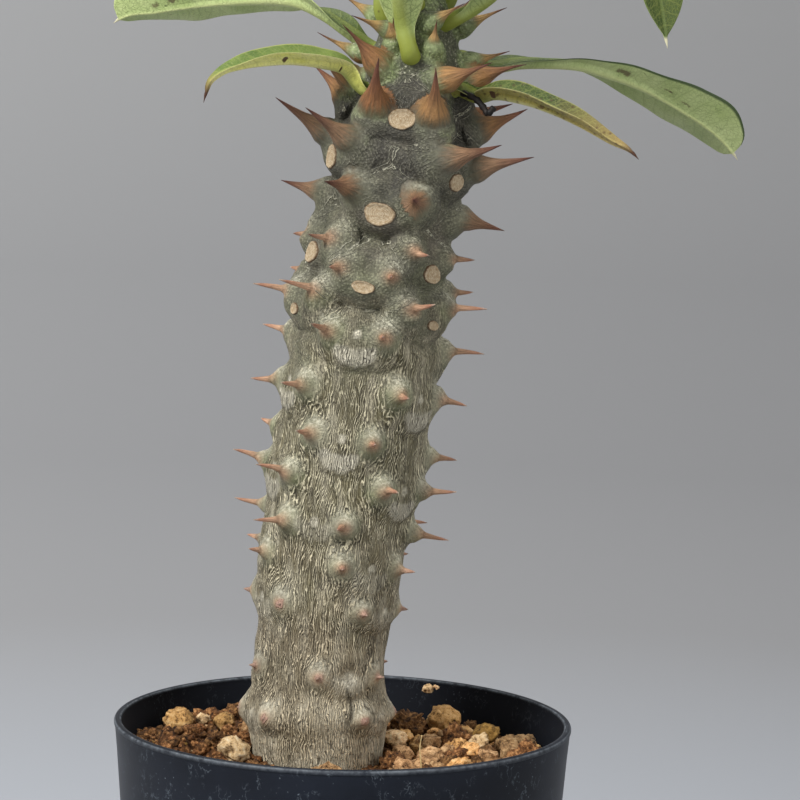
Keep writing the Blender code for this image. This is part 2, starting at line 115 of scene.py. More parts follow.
def linear(hex_colour):
    """The linear RGBA of an sRGB hex colour."""
    parts = [int(hex_colour[i : i + 2], 16) / 255 for i in (1, 3, 5)]
    return (*(c / 12.92 if c <= 0.04045 else ((c + 0.055) / 1.055) ** 2.4 for c in parts), 1)


def add(tree, kind, inputs=(), operation=None, out=None, **settings):
    """Adds a node, fills or links its inputs in order or by name, and returns one of its outputs."""
    node = tree.nodes.new(kind if "Node" in kind else "ShaderNode" + kind)
    if operation:
        node.operation = operation
    if kind == "Mix":
        node.data_type = "RGBA"
    for name, value in settings.items():
        setattr(node, name, value)
    if isinstance(inputs, dict):
        filled = [(node.inputs[name], value) for name, value in inputs.items()]
    else:
        filled = list(zip([socket for socket in node.inputs if socket.enabled], inputs))
    for socket, value in filled:
        if isinstance(value, bpy.types.NodeSocket):
            tree.links.new(value, socket)
        elif isinstance(value, str) and socket.type == "RGBA":
            socket.default_value = linear(value)
        else:
            socket.default_value = value
    if out is None:
        return next(socket for socket in node.outputs if socket.enabled)
    return node.outputs[out]


def new_material(name, roughness, specular):
    """The material, its tree and shader, and the place on the piece for its patterns to read."""
    material = bpy.data.materials.new(name)
    material.use_nodes = True
    shader = material.node_tree.nodes["Principled BSDF"]
    shader.inputs["Roughness"].default_value = roughness
    shader.inputs["Specular IOR Level"].default_value = specular
    place = add(material.node_tree, "TexCoord", out="Object")
    return material, material.node_tree, shader, place


def linked(name, mesh):
    obj = bpy.data.objects.new(name, mesh)
    bpy.context.scene.collection.objects.link(obj)
    return obj


def made_plain(obj):
    """Turns the object's modifiers into its own plain mesh."""
    graph = bpy.context.evaluated_depsgraph_get()
    seen = obj.evaluated_get(graph)
    mesh = bpy.data.meshes.new_from_object(seen, preserve_all_data_layers=True, depsgraph=graph)
    obj.modifiers.clear()
    obj.data = mesh
    return obj


def turned(name, profile, steps):
    """A profile of (radius, height) points in millimetres, down its outer side, turned round Z."""
    mesh = bpy.data.meshes.new(name)
    points = [(radius * MM, 0, height * MM) for radius, height in profile]
    mesh.from_pydata(points, [(i, i + 1) for i in range(len(points) - 1)], [])
    obj = linked(name, mesh)
    screw = obj.modifiers.new("turn", "SCREW")
    screw.steps = screw.render_steps = steps
    screw.use_merge_vertices = True
    screw.merge_threshold = 0.01 * MM
    made_plain(obj)
    obj.data.shade_smooth()
    return obj


def softbox(name, place, side, power):
    light = bpy.data.lights.new(name, "AREA")
    light.energy = power
    light.size = side * MM
    obj = linked(name, light)
    spot = Vector(place) * MM
    aim = Vector(LIT_POINT) * MM - spot
    obj.matrix_world = Matrix.Translation(spot) @ aim.to_track_quat("-Z", "Y").to_matrix().to_4x4()


sweep = turned("paper_sweep", SWEEP, SWEEP_STEPS)
# Matte card with no shine. Painted light: paler near the plant and up the wall, brighter on the left towards
# the key light.
paper, tree, shader, place = new_material("grey_studio_paper", roughness=0.9, specular=0.2)
radius = add(tree, "VectorMath", [place], "LENGTH")
far = add(tree, "MapRange", [radius, *NEAR_TO_FLOOR])
colour = add(tree, "Mix", [far, PAPER_NEAR, PAPER_FLOOR])
height = add(tree, "SeparateXYZ", [place], out="Z")
rise = add(tree, "MapRange", [height, *FLOOR_TO_WALL])
colour = add(tree, "Mix", [rise, colour, PAPER_WALL])
# Painted light: the paper is painted brighter on the left and darker on the right.
across = add(tree, "SeparateXYZ", [place], out="X")
painted_falloff = add(tree, "MapRange", [across, *PAINTED_FALLOFF])
colour = add(tree, "HueSaturation", {"Color": colour, "Value": painted_falloff})
tree.links.new(colour, shader.inputs["Base Color"])
sweep.data.materials.append(paper)
softbox("key", *KEY)
softbox("fill", *FILL)
softbox("top", *TOP)
world = bpy.data.worlds.new("studio_air")
bpy.context.scene.world = world
world.use_nodes = True
world.node_tree.nodes["Background"].inputs["Color"].default_value = linear(AIR)
world.node_tree.nodes["Background"].inputs["Strength"].default_value = AIR_STRENGTH
bpy.context.scene.view_settings.view_transform = "Standard"


# Pot
# A thin nursery pot moulded in black polypropylene, with a rounded lip and six drain holes. Its satin
# skin is blue-black, with pale lime specks, drip marks and a scuffed lip.
POT_HEIGHT = 92
RIM_RADIUS = 52.5
BASE_RADIUS = 46.1
WALL = 1.9
FLOOR = 2.4
LIP_HEIGHT = 4.0
LIP_PROUD = 0.5
LIP_ROUND = 0.8
LIP_THICK = 1.75
LIP_UNDER = ((0.04, 1.15), (0.24, 1.3), (0.25, 1.6))  # in from the rim, down from the top
INNER_CORNER, FOOT_CORNER = 2.0, 1.5
POT_STEPS = 192
POT_CREASE = 50  # edges turned by more degrees are drawn sharp
DRAIN_HOLES, DRAIN_SIDES = 6, 32
DRAIN_RADIUS = 4.0
DRAIN_CIRCLE = 30.0
POT_BLACK, POT_WORN, POT_LIME, POT_SCUFF = "#0b0f17", "#171c26", "#7c868f", "#787e84"
# Painted shade: the inside of the pot is painted near black, darker than the same plastic outside.
POT_INSIDE_SHADE = "#010611"
SCUFFED_EDGES = ((RIM_RADIUS - 0.15, 0.25), (RIM_RADIUS - LIP_THICK + 0.3, 0.3))  # radius, half width


def pot_inner_radius(height):
    return BASE_RADIUS + (RIM_RADIUS - LIP_PROUD - BASE_RADIUS) * height / POT_HEIGHT - WALL


def arc(middle, radius, start, end, steps=6):
    """Points of a round corner from one angle to another, in degrees, 0 outwards and 90 up."""
    turns = np.radians(np.linspace(start, end, steps))
    return [(middle[0] + radius * math.cos(a), middle[1] + radius * math.sin(a)) for a in turns]


def make_pot():
    foot = POT_HEIGHT - LIP_HEIGHT
    inner = pot_inner_radius(foot)
    corner = pot_inner_radius(FLOOR) - INNER_CORNER, FLOOR + INNER_CORNER
    profile = [(0, FLOOR), *arc(corner, INNER_CORNER, -90, 0)]
    lip = RIM_RADIUS - LIP_THICK
    profile += [(inner, foot), (lip, POT_HEIGHT - 2 * LIP_ROUND)]
    profile += arc((lip + LIP_ROUND, POT_HEIGHT - LIP_ROUND), LIP_ROUND, 180, 90)
    profile += arc((RIM_RADIUS - LIP_ROUND, POT_HEIGHT - LIP_ROUND), LIP_ROUND, 90, 0)
    profile += [(RIM_RADIUS - inward, POT_HEIGHT - down) for inward, down in LIP_UNDER]
    profile += [(inner + WALL, foot - 3)]
    profile += [(pot_inner_radius(share * foot) + WALL, share * foot) for share in (0.8, 0.6, 0.4, 0.2)]
    profile += [*arc((BASE_RADIUS - 1.4, FOOT_CORNER), FOOT_CORNER, 0, -90), (0, 0)]
    pot = turned("nursery_pot", profile, POT_STEPS)
    for number in range(DRAIN_HOLES):
        turn = math.tau * number / DRAIN_HOLES
        bm = bmesh.new()
        size = {name: DRAIN_RADIUS * MM for name in ("radius1", "radius2")}
        bmesh.ops.create_cone(bm, cap_ends=True, segments=DRAIN_SIDES, depth=4 * FLOOR * MM, **size)
        bm.transform(Matrix.Translation(DRAIN_CIRCLE * MM * Vector((math.sin(turn), math.cos(turn), 0))))
        mesh = bpy.data.meshes.new("drain")
        bm.to_mesh(mesh)
        cutter = linked("drain", mesh)
        cut = pot.modifiers.new("drain", "BOOLEAN")
        cut.object, cut.operation, cut.solver = cutter, "DIFFERENCE", "EXACT"
        made_plain(pot)
        bpy.data.objects.remove(cutter)
    pot.data.shade_smooth()
    pot.data.set_sharp_from_angle(angle=math.radians(POT_CREASE))
    return pot


def coat(tree, shader, colour, height, strength, depth):
    """Gives the shader its colour, and a bump of this strength and depth in millimetres."""
    tree.links.new(colour, shader.inputs["Base Color"])
    bump = add(tree, "Bump", {"Height": height, "Strength": strength, "Distance": depth * MM})
    tree.links.new(bump, shader.inputs["Normal"])


def near_value(tree, value, at, start, full, most=1):
    """How near one value is to another: from 0 at the start distance to the most at the full one."""
    off = add(tree, "Math", [value, at], "SUBTRACT")
    off = add(tree, "Math", [off], "ABSOLUTE")
    return add(tree, "MapRange", [off, start, full, 0, most])


def pot_material():
    """Injection-moulded polypropylene: a smooth satin sheen, dulled by lime and handling."""
    material, tree, shader, place = new_material("black_polypropylene", roughness=0.42, specular=0.22)
    # The scale of a noise is 1000 over its size in millimetres.
    cloud = add(tree, "TexNoise", [place, 1000 / 22, 4])
    cloud = add(tree, "MapRange", [cloud, 0.35, 0.7])
    colour = add(tree, "Mix", [cloud, POT_BLACK, POT_WORN])
    radial = add(tree, "VectorMath", [place, (1, 1, 0)], "MULTIPLY")
    radius = add(tree, "VectorMath", [radial], "LENGTH")
    slope = (RIM_RADIUS - LIP_PROUD - BASE_RADIUS) / POT_HEIGHT
    height = add(tree, "SeparateXYZ", [place], out="Z")
    wall = add(tree, "Math", [height, -slope, radius], "MULTIPLY_ADD")
    edge = (BASE_RADIUS - 0.5 * WALL) * MM
    outer = add(tree, "MapRange", [wall, edge, edge + 0.3 * MM])
    # The inside wall takes the near-black painted shade.
    colour = add(tree, "Mix", [outer, POT_INSIDE_SHADE, colour])
    # Lime specks of 0.2 to 0.5 mm, a few millimetres apart, in drifts.
    wobble = add(tree, "TexNoise", [place, 1000 / 1.2, 2], out="Color")
    wobbly = add(tree, "VectorMath", [wobble, (0.0012,) * 3], "MULTIPLY")
    wobbly = add(tree, "VectorMath", [place, wobbly], "ADD")
    speck = add(tree, "TexVoronoi", [wobbly, 1000 / 1.3])
    speck = add(tree, "MapRange", [speck, 0.17, 0.07])
    drift = add(tree, "TexNoise", [place, 1000 / 9, 4])
    drift = add(tree, "MapRange", [drift, 0.5, 0.62, 0, 0.8])
    speck = add(tree, "Math", [speck, drift], "MULTIPLY")
    # Dried drips: thin outlines of a noise, longer than wide, where a slower noise is high.
    long = add(tree, "VectorMath", [wobbly, (1, 1, 0.55)], "MULTIPLY")
    drip = add(tree, "TexNoise", [long, 1000 / 1.8, 3])
    drip = near_value(tree, drip, 0.5, 0.025, 0.0, 0.4)
    drop = add(tree, "TexNoise", [place, 1000 / 4.5, 3])
    drop = add(tree, "MapRange", [drop, 0.52, 0.62])
    drip = add(tree, "Math", [drip, drop], "MULTIPLY")
    lime = add(tree, "Math", [speck, drip], "MAXIMUM")
    # Inside the pot the lime is dimmed as part of the painted shade.
    seen = add(tree, "MapRange", [outer, 0, 1, 0.25, 0.8])
    lime = add(tree, "Math", [lime, seen], "MULTIPLY")
    colour = add(tree, "Mix", [lime, colour, POT_LIME])
    # The lip is scuffed pale along its inner and outer edges.
    top = add(tree, "MapRange", [height, (POT_HEIGHT - 1.3) * MM, (POT_HEIGHT - 0.7) * MM])
    edges = [near_value(tree, radius, reach * MM, wide * MM, 0.0) for reach, wide in SCUFFED_EDGES]
    edge = add(tree, "Math", edges, "MAXIMUM")
    scuff = add(tree, "TexNoise", [place, 1000 / 1.4, 7])
    scuff = add(tree, "MapRange", [scuff, 0.3, 0.7, 0.1, 0.8])
    scuff = add(tree, "Math", [edge, scuff], "MULTIPLY")
    scuff = add(tree, "Math", [top, scuff], "MULTIPLY")
    colour = add(tree, "Mix", [scuff, colour, POT_SCUFF])
    worn = add(tree, "Math", [lime, scuff], "MAXIMUM")
    worn = add(tree, "Math", [worn, outer], "MULTIPLY")
    plain = add(tree, "MapRange", [outer, 0, 1, 0.75, 0.42])
    rough = add(tree, "Math", [worn, 0.35, plain], "MULTIPLY_ADD")
    tree.links.new(rough, shader.inputs["Roughness"])
    grain = add(tree, "TexNoise", [place, 1000 / 0.9, 4])
    coat(tree, shader, colour, grain, strength=0.25, depth=0.05)
    return material


pot = make_pot()
pot.data.materials.append(pot_material())
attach(pot, "root")
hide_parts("pot")


# Soil
# Crumbly brown compost with grit, filled to a centimetre under the lip and higher on the left. The bed
# is a displaced disc with plain sides; the trunk stands in it.
TRUNK = np.array((
    (62, -5.6, 12.4), (76, -5.7, 14.2), (90, -5.8, 16.0), (94.5, -5.9, 16.8), (99, -5.8, 15.6),
    (105, -5.5, 14.8), (112, -5.1, 15.0), (120, -4.5, 16.0), (130, -3.3, 16.4), (140, -2.1, 16.8),
    (148, -0.9, 17.2), (156, 0.3, 17.0), (166, 1.8, 17.0), (178, 3.2, 17.0), (189, 4.2, 16.4),
    (198, 5.4, 14.9), (206, 6.9, 14.0), (213, 8.8, 14.4), (220, 10.0, 14.8), (227, 11.5, 14.3),
    (233, 12.4, 13.0), (239, 12.8, 11.2), (245, 13.1, 9.3), (250, 13.2, 7.6), (254, 13.3, 6.0),
    (257, 13.3, 4.0), (259, 13.3, 1.6),
)) * MM  # height, middle in x, radius  # fmt: skip
SOIL_TOP = 84.5
SOIL_SLOPE = 0.035
SOIL_DISH = 2.6
DISH_MIDDLE = (-6, -24)
DISH_RADIUS = 15
BED_DROP = 1.6  # the bed lies this far under the level at which the stones sit
LOAM_MIDDLE, LOAM_REACH, LOAM_RISE = (-35, 0), 11, 2.6  # a heap of crumbly loam on the left
PIT_MIDDLE, PIT_REACH, PIT_DEPTH = (-32, -9), 3.2, 4.0  # a dark pit in it
BED_GAP, BED_BOTTOM_GAP, BED_LIFT = 0.25, 0.3, 0.3  # from the wall above and below, and from the floor
BED_RINGS, BED_SIDES = 90, 300
CRUMB_SIZE, LUMP_SIZE = 2.6, 6
SOIL_HOLLOW_SHADE, SOIL_MID, SOIL_PALE = "#120a05", "#5a3a20", "#c48e56"


def along_rows(table, at):
    """The table's other columns at these values of its first, on smooth curves through its rows."""
    at = np.asarray(at, float)
    slopes = np.gradient(table[:, 1:], table[:, 0], axis=0)
    first = np.clip(np.searchsorted(table[:, 0], at) - 1, 0, len(table) - 2)
    span = (table[first + 1, 0] - table[first, 0])[..., None]
    t = (at[..., None] - table[first, :1]) / span
    return (
        (2 * t**3 - 3 * t**2 + 1) * table[first, 1:]
        + (t**3 - 2 * t**2 + t) * span * slopes[first]
        + (3 * t**2 - 2 * t**3) * table[first + 1, 1:]
        + (t**3 - t**2) * span * slopes[first + 1]
    )


def trunk_at(height):
    """The trunk's middle in x and its plain radius at these heights."""
    values = along_rows(TRUNK, height)
    return values[..., 0], values[..., 1]


def soil_height(x, y):
    ripple = 0.5 * math.sin(x / 6 + 1) * math.cos(y / 7)
    away = math.hypot(x - DISH_MIDDLE[0], y - DISH_MIDDLE[1]) / DISH_RADIUS
    return SOIL_TOP - SOIL_SLOPE * x + ripple - SOIL_DISH * math.exp(-away * away)


def bed_height(x, y):
    crumb = noise.fractal(Vector((x, y, 0)) / CRUMB_SIZE, 0.6, 2.1, 5)
    lump = noise.noise(Vector((x, y, 7)) / LUMP_SIZE)
    loam = math.exp(-((math.hypot(x - LOAM_MIDDLE[0], y - LOAM_MIDDLE[1]) / LOAM_REACH) ** 4))
    pit = PIT_DEPTH * math.exp(-((math.hypot(x - PIT_MIDDLE[0], y - PIT_MIDDLE[1]) / PIT_REACH) ** 2))
    level = soil_height(x, y) - BED_DROP + LOAM_RISE * loam - pit
    return level + (0.9 + 0.9 * loam) * crumb + (0.8 + loam) * lump


def make_soil_bed():
    edge = pot_inner_radius(SOIL_TOP) - BED_GAP
    bottom = FLOOR + BED_LIFT
    bm = bmesh.new()
    middle = bm.verts.new((0, 0, bed_height(0, 0) * MM))
    rings = []
    for ring in range(1, BED_RINGS + 1):
        radius = edge * ring / BED_RINGS
        row = []
        for step in range(BED_SIDES):
            turn = math.tau * step / BED_SIDES
            x, y = radius * math.sin(turn), -radius * math.cos(turn)
            row.append(bm.verts.new(Vector((x, y, bed_height(x, y))) * MM))
        rings.append(row)
    low = pot_inner_radius(bottom) - BED_BOTTOM_GAP
    base = []
    for step in range(BED_SIDES):
        turn = math.tau * step / BED_SIDES
        base.append(bm.verts.new(Vector((low * math.sin(turn), -low * math.cos(turn), bottom)) * MM))
    rings.append(base)
    foot = bm.verts.new((0, 0, bottom * MM))
    for step in range(BED_SIDES):
        after = (step + 1) % BED_SIDES
        bm.faces.new((middle, rings[0][step], rings[0][after]))
        bm.faces.new((foot, base[after], base[step]))
        for inner, outer in zip(rings, rings[1:]):
            bm.faces.new((inner[step], outer[step], outer[after], inner[after]))
    bmesh.ops.recalc_face_normals(bm, faces=bm.faces)
    mesh = bpy.data.meshes.new("soil_bed")
    bm.to_mesh(mesh)
    mesh.shade_smooth()
    return linked("soil_bed", mesh)


def soil_material():
    """Moist clay compost: matte, with painted shade in its hollows and ochre crumbs of 0.4 to 2 mm."""
    material, tree, shader, place = new_material("clay_compost", roughness=0.95, specular=0.25)
    crumb = add(tree, "TexNoise", [place, 1000 / 2.2, 8, 0.7])
    low = add(tree, "MapRange", [crumb, 0.38, 0.55])
    high = add(tree, "MapRange", [crumb, 0.56, 0.72])
    # Painted shade: the low parts of the crumb noise, which the bump makes hollows, go near black.
    colour = add(tree, "Mix", [low, SOIL_HOLLOW_SHADE, SOIL_MID])
    colour = add(tree, "Mix", [high, colour, SOIL_PALE])
    coat(tree, shader, colour, crumb, strength=0.9, depth=0.9)
    return material


soil_bed = make_soil_bed()
soil_bed.data.materials.append(soil_material())
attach(soil_bed, "root")
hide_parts("soil")


# Stones and grit
# Granules scattered over the soil: tan and ochre baked clay, cream pumice, red-brown clods. Each kind is
# one piece, its stones set on points by a node tree from a few broken and rounded shapes.
GRIT_SEED = 7
GRIT_TRIES = 1500
GRIT_RADIUS = (3.0, 4.5)
GRIT_SPACING = 0.88
GRIT_SHOULDER = 1.2
# Stones that show in front and at the sides: x, y, radius, how far they are heaped up, kind.
CHOSEN_GRIT = (
    (24, 20, 4.2, 2.7, "ochre"), (-38, 13, 4.2, 1.6, "ochre"), (-24, -17, 3.6, 2.4, "pumice"),
    (-23, -1, 2.8, 1.0, "clod"), (33, 11, 3.4, 2.6, "olive"), (15, 15, 3.6, 2.8, "clod"),
    (19.5, -4, 3.4, 0, "clay"), (26, -3.5, 3.6, 0, "clod"), (33, -3.5, 3.2, 0, "clay"),
    (38.5, -9, 3.2, 0, "clay"), (14, -17, 2.8, 0, "clay"), (21, -20, 2.6, 0, "clay"),
    (24.5, -13, 2.5, 0, "clod"), (-28, 21, 3.0, 0.5, "ochre"), (-33, 18, 1.8, 1.8, "pumice"),
    (12.4, 3, 2.5, 2.8, "pumice"), (29, 17, 2.4, 1.2, "ochre"),
)  # fmt: skip
# Smaller ones heaped on these.
PILED_GRIT = (
    (-21.5, 14, 2.2, 0.5, "clay"), (31.5, 2.5, 2.6, 2.5, "pumice"), (38.5, 6, 3.0, 1.0, "clay"),
    (26.5, 8, 3.6, 1.8, "clod"), (20, 6, 2.9, 1.2, "clay"), (14.5, 8, 1.9, 2.2, "ochre"),
    (14, -4, 2.6, 1.0, "clay"), (29.5, -2, 2.6, 1.6, "ochre"), (24.2, -2, 1.7, 1.8, "clay"),
    (-29, -3, 1.9, 1.4, "clod"), (-26.5, -9, 1.6, 1.6, "clod"), (-35, -2, 1.7, 2.0, "clod"),
    (-33, 5, 1.5, 1.6, "clod"), (-26, 7, 1.8, 1.0, "clod"), (-22.5, -13, 1.9, 1.2, "pumice"),
    (34.5, 17, 1.6, 1.0, "clay"), (19, 22, 1.7, 0.8, "clod"), (21.5, 13, 1.8, 2.0, "ochre"),
)  # fmt: skip
OTHER_KINDS = ("clay", "clay", "clay", "ochre", "pumice", "clod", "clod")
LOAM_EDGE = -12  # left of this the seeded stones are clods
BURIED, BURIED_BEHIND = 2.2, 15  # how deep seeded stones sink there, and behind this y
STONES_CLEAR = 1.5  # how far stones stay under the lip's foot
STONE_REST = 0.15  # how far a stone stands up, as a share of its radius
# Seed, level of detail, planes that cut it, roughness and fine roughness of each shape.
GRANULE, CLOD, GRAIN = (20, 4, 9, 0.24, 0.13), (40, 4, 5, 0.4, 0.36), (60, 1, 0, 0.3, 0.2)
CLOD_SHARE = 4  # how many more small grains are clods
LOAM_SHARE = 0.75  # how many of the small grains on the loam are
# Colour of the painted shade in the hollows, of the body, and of the crests, paler from wear and from painted
# highlight, for each kind.
STONE_COLOURS = {
    "clay": ("#2c1a0c", "#a68055", "#e8c492"),
    "ochre": ("#3a220c", "#d8a462", "#ffdca2"),
    "pumice": ("#6a4e32", "#efc994", "#fff0cc"),
    "olive": ("#2a1c0c", "#83652f", "#bb9550"),
    "clod": ("#110804", "#6c4725", "#dca468"),
}
SMALL_GRIT = 2200
SMALL_RADIUS = (0.4, 1.5)


def stone_shape(name, seed, level, cuts, rough, fine):
    """A unit granule: a sphere cut by planes all round, then pitted."""
    draw = random.Random(seed)
    bm = bmesh.new()
    bmesh.ops.create_icosphere(bm, subdivisions=level, radius=1)
    planes = []
    for _ in range(cuts):
        way = Vector([draw.gauss(0, 1) for _ in range(3)]).normalized()
        planes.append((way, draw.uniform(0.62, 0.92)))
    drift = Vector([draw.uniform(-50, 50) for _ in range(3)])
    for vertex in bm.verts:
        for way, reach in planes:
            over = vertex.co.dot(way) - reach
            if over > 0:
                vertex.co -= 0.85 * over * way
        pit = rough * noise.fractal(1.6 * vertex.co + drift, 0.8, 2.2, 3)
        pit += fine * noise.fractal(6 * vertex.co - drift, 0.8, 2.2, 2)
        vertex.co *= 1.08 + pit
    mesh = bpy.data.meshes.new(name)
    bm.to_mesh(mesh)
    bm.free()
    mesh.shade_smooth()
    return bpy.data.objects.new(name, mesh)


def stone_shapes(name, seed, level, cuts, rough, fine, count=6):
    """The shapes in a collection of their own, outside the scene."""
    shapes = bpy.data.collections.new(name)
    for number in range(count):
        shapes.objects.link(stone_shape(f"{name}_{number}", seed + number, level, cuts, rough, fine))
    return shapes


def scatter_tree():
    """Sets a shape on each point, turned and sized by the point's attributes, each with its own shade."""
    tree = bpy.data.node_groups.new("scattered_stones", "GeometryNodeTree")
    kinds = {"Points": "Geometry", "Shapes": "Collection", "Finish": "Material", "Seed": "Int"}
    for name, kind in kinds.items():
        tree.interface.new_socket(name=name, in_out="INPUT", socket_type="NodeSocket" + kind)
    tree.interface.new_socket(name="Stones", in_out="OUTPUT", socket_type="NodeSocketGeometry")
    given = tree.nodes.new("NodeGroupInput").outputs
    picked = {"Collection": given["Shapes"], "Separate Children": True, "Reset Children": True}
    shapes = add(tree, "GeometryNodeCollectionInfo", picked)
    turn, size = (
        add(tree, "GeometryNodeInputNamedAttribute", {"Name": name}, data_type="FLOAT_VECTOR")
        for name in ("turn", "size")
    )
    stood = {"Points": given["Points"], "Instance": shapes, "Pick Instance": True}
    stood |= {"Rotation": turn, "Scale": size}
    stones = add(tree, "GeometryNodeInstanceOnPoints", stood)
    shade = add(tree, "FunctionNodeRandomValue", {"Seed": given["Seed"]}, data_type="FLOAT")
    shaded = {"Geometry": stones, "Name": "shade", "Value": shade}
    stones = add(tree, "GeometryNodeStoreNamedAttribute", shaded, domain="INSTANCE", data_type="FLOAT")
    stones = add(tree, "GeometryNodeRealizeInstances", {"Geometry": stones})
    stones = add(tree, "GeometryNodeSetMaterial", {"Geometry": stones, "Material": given["Finish"]})
    tree.links.new(stones, tree.nodes.new("NodeGroupOutput").inputs["Stones"])
    return tree


def scattered(name, places, shapes, finish, seed):
    """One mesh of stones at these places: x, y, z, radius."""
    draw = random.Random(seed)
    mesh = bpy.data.meshes.new(name)
    mesh.from_pydata([Vector(place[:3]) * MM for place in places], [], [])
    turn = mesh.attributes.new("turn", "FLOAT_VECTOR", "POINT")
    size = mesh.attributes.new("size", "FLOAT_VECTOR", "POINT")
    for index, place in enumerate(places):
        turn.data[index].vector = [draw.uniform(0, 0.5), draw.uniform(0, 0.5), draw.uniform(0, math.tau)]
        squashed = Vector((1, draw.uniform(0.8, 1), draw.uniform(0.68, 0.88)))
        size.data[index].vector = place[3] * MM * squashed
    obj = linked(name, mesh)
    scatter = obj.modifiers.new("scatter", "NODES")
    scatter.node_group = stones_tree
    given = {"Shapes": shapes, "Finish": finish, "Seed": seed}
    for socket in stones_tree.interface.items_tree:
        if socket.name in given:
            scatter[socket.identifier] = given[socket.name]
    made_plain(obj)
    return obj


def stone_material(kind):
    """Fired clay, pumice or clod: matte and porous, with painted shade in its pores and crests paler from
    wear and painted highlight.
    """
    hollow, body, crest = STONE_COLOURS[kind]
    material, tree, shader, place = new_material("grit_" + kind, roughness=0.9, specular=0.3)
    shade = add(tree, "Attribute", out="Fac", attribute_name="shade")
    rough = add(tree, "TexNoise", [place, 1000 / 1.5, 9, 0.75])
    pores = add(tree, "MapRange", [rough, 0.37, 0.49])
    crests = add(tree, "MapRange", [rough, 0.5, 0.66, 0, 0.85])
    # Painted shade in the pores; on the crests, wear together with a painted highlight.
    colour = add(tree, "Mix", [pores, hollow, body])
    colour = add(tree, "Mix", [crests, colour, crest])
    value = add(tree, "MapRange", [shade, 0, 1, 0.65, 1.35])
    hue = add(tree, "MapRange", [shade, 0, 1, 0.503, 0.494])
    colour = add(tree, "HueSaturation", {"Color": colour, "Value": value, "Hue": hue})
    coat(tree, shader, colour, rough, strength=1.0, depth=0.9)
    return material


def stone_places():
    """The chosen stones, then seeded ones wherever they fit between the trunk and the pot."""
    draw = random.Random(GRIT_SEED)
    stones = [stone[:3] for stone in CHOSEN_GRIT]
    middle, trunk_radius = (float(value) / MM for value in trunk_at((SOIL_TOP + 2) * MM))
    for _ in range(GRIT_TRIES):
        radius = draw.uniform(*GRIT_RADIUS)
        turn = draw.uniform(0, math.tau)
        far = math.sqrt(draw.uniform(0.08, 1)) * pot_inner_radius(SOIL_TOP)
        x, y = far * math.sin(turn), far * math.cos(turn)
        if far + radius + GRIT_SHOULDER > pot_inner_radius(SOIL_TOP):
            continue
        if math.hypot(x - middle, y) < trunk_radius + radius + GRIT_SHOULDER:
            continue
        if any(math.hypot(x - a, y - b) < GRIT_SPACING * (radius + c) for a, b, c in stones):
            continue
        if math.hypot(x - PIT_MIDDLE[0], y - PIT_MIDDLE[1]) < radius + 0.6 * PIT_REACH:
            continue
        stones.append((x, y, radius))
    return stones


def small_places(draw):
    """Loose grit between the stones, up to the trunk and the pot."""
    middle, trunk_radius = (float(value) / MM for value in trunk_at(SOIL_TOP * MM))
    places = []
    while len(places) < SMALL_GRIT:
        radius = SMALL_RADIUS[0] + (SMALL_RADIUS[1] - SMALL_RADIUS[0]) * draw.random() ** 2
        turn = draw.uniform(0, math.tau)
        far = math.sqrt(draw.random()) * (pot_inner_radius(SOIL_TOP) - radius - 0.3)
        x, y = far * math.sin(turn), far * math.cos(turn)
        if math.hypot(x - middle, y) > trunk_radius - 0.5:
            places.append((x, y, bed_height(x, y) + 0.3 * radius, radius))
    return places


stones_tree = scatter_tree()
draw_kind = random.Random(GRIT_SEED + 2)
clear = POT_HEIGHT - LIP_HEIGHT - STONES_CLEAR
large = {kind: [] for kind in STONE_COLOURS}
for x, y, radius, raised, kind in CHOSEN_GRIT + PILED_GRIT:
    large[kind].append((x, y, min(soil_height(x, y) + STONE_REST * radius, clear) + raised, radius))
for x, y, radius in stone_places()[len(CHOSEN_GRIT) :]:
    buried = BURIED if x < LOAM_EDGE or y > BURIED_BEHIND else 0
    kind = draw_kind.choice(OTHER_KINDS)
    place = (x, y, min(soil_height(x, y) + STONE_REST * radius, clear) - buried, radius)
    large["clod" if x < LOAM_EDGE else kind].append(place)
stone_finish = {kind: stone_material(kind) for kind in STONE_COLOURS}
granules, clods, grains = (
    stone_shapes(name, *rule) for name, rule in (("granule", GRANULE), ("clod", CLOD), ("grain", GRAIN))
)
draw_small = random.Random(GRIT_SEED + 3)
loose = small_places(draw_small)
small = {kind: [] for kind in STONE_COLOURS}
for place in loose:
    kind = draw_small.choice(tuple(STONE_COLOURS) + ("clod",) * CLOD_SHARE)
    small["clod" if place[0] < LOAM_EDGE and draw_small.random() < LOAM_SHARE else kind].append(place)
for seed, kind in enumerate(STONE_COLOURS):
    shapes = clods if kind == "clod" else granules
    for label, places, shape in (("stones", large[kind], shapes), ("grit", small[kind], grains)):
        stones = scattered(f"{label}_{kind}", places, shape, stone_finish[kind], seed)
        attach(stones, "root")


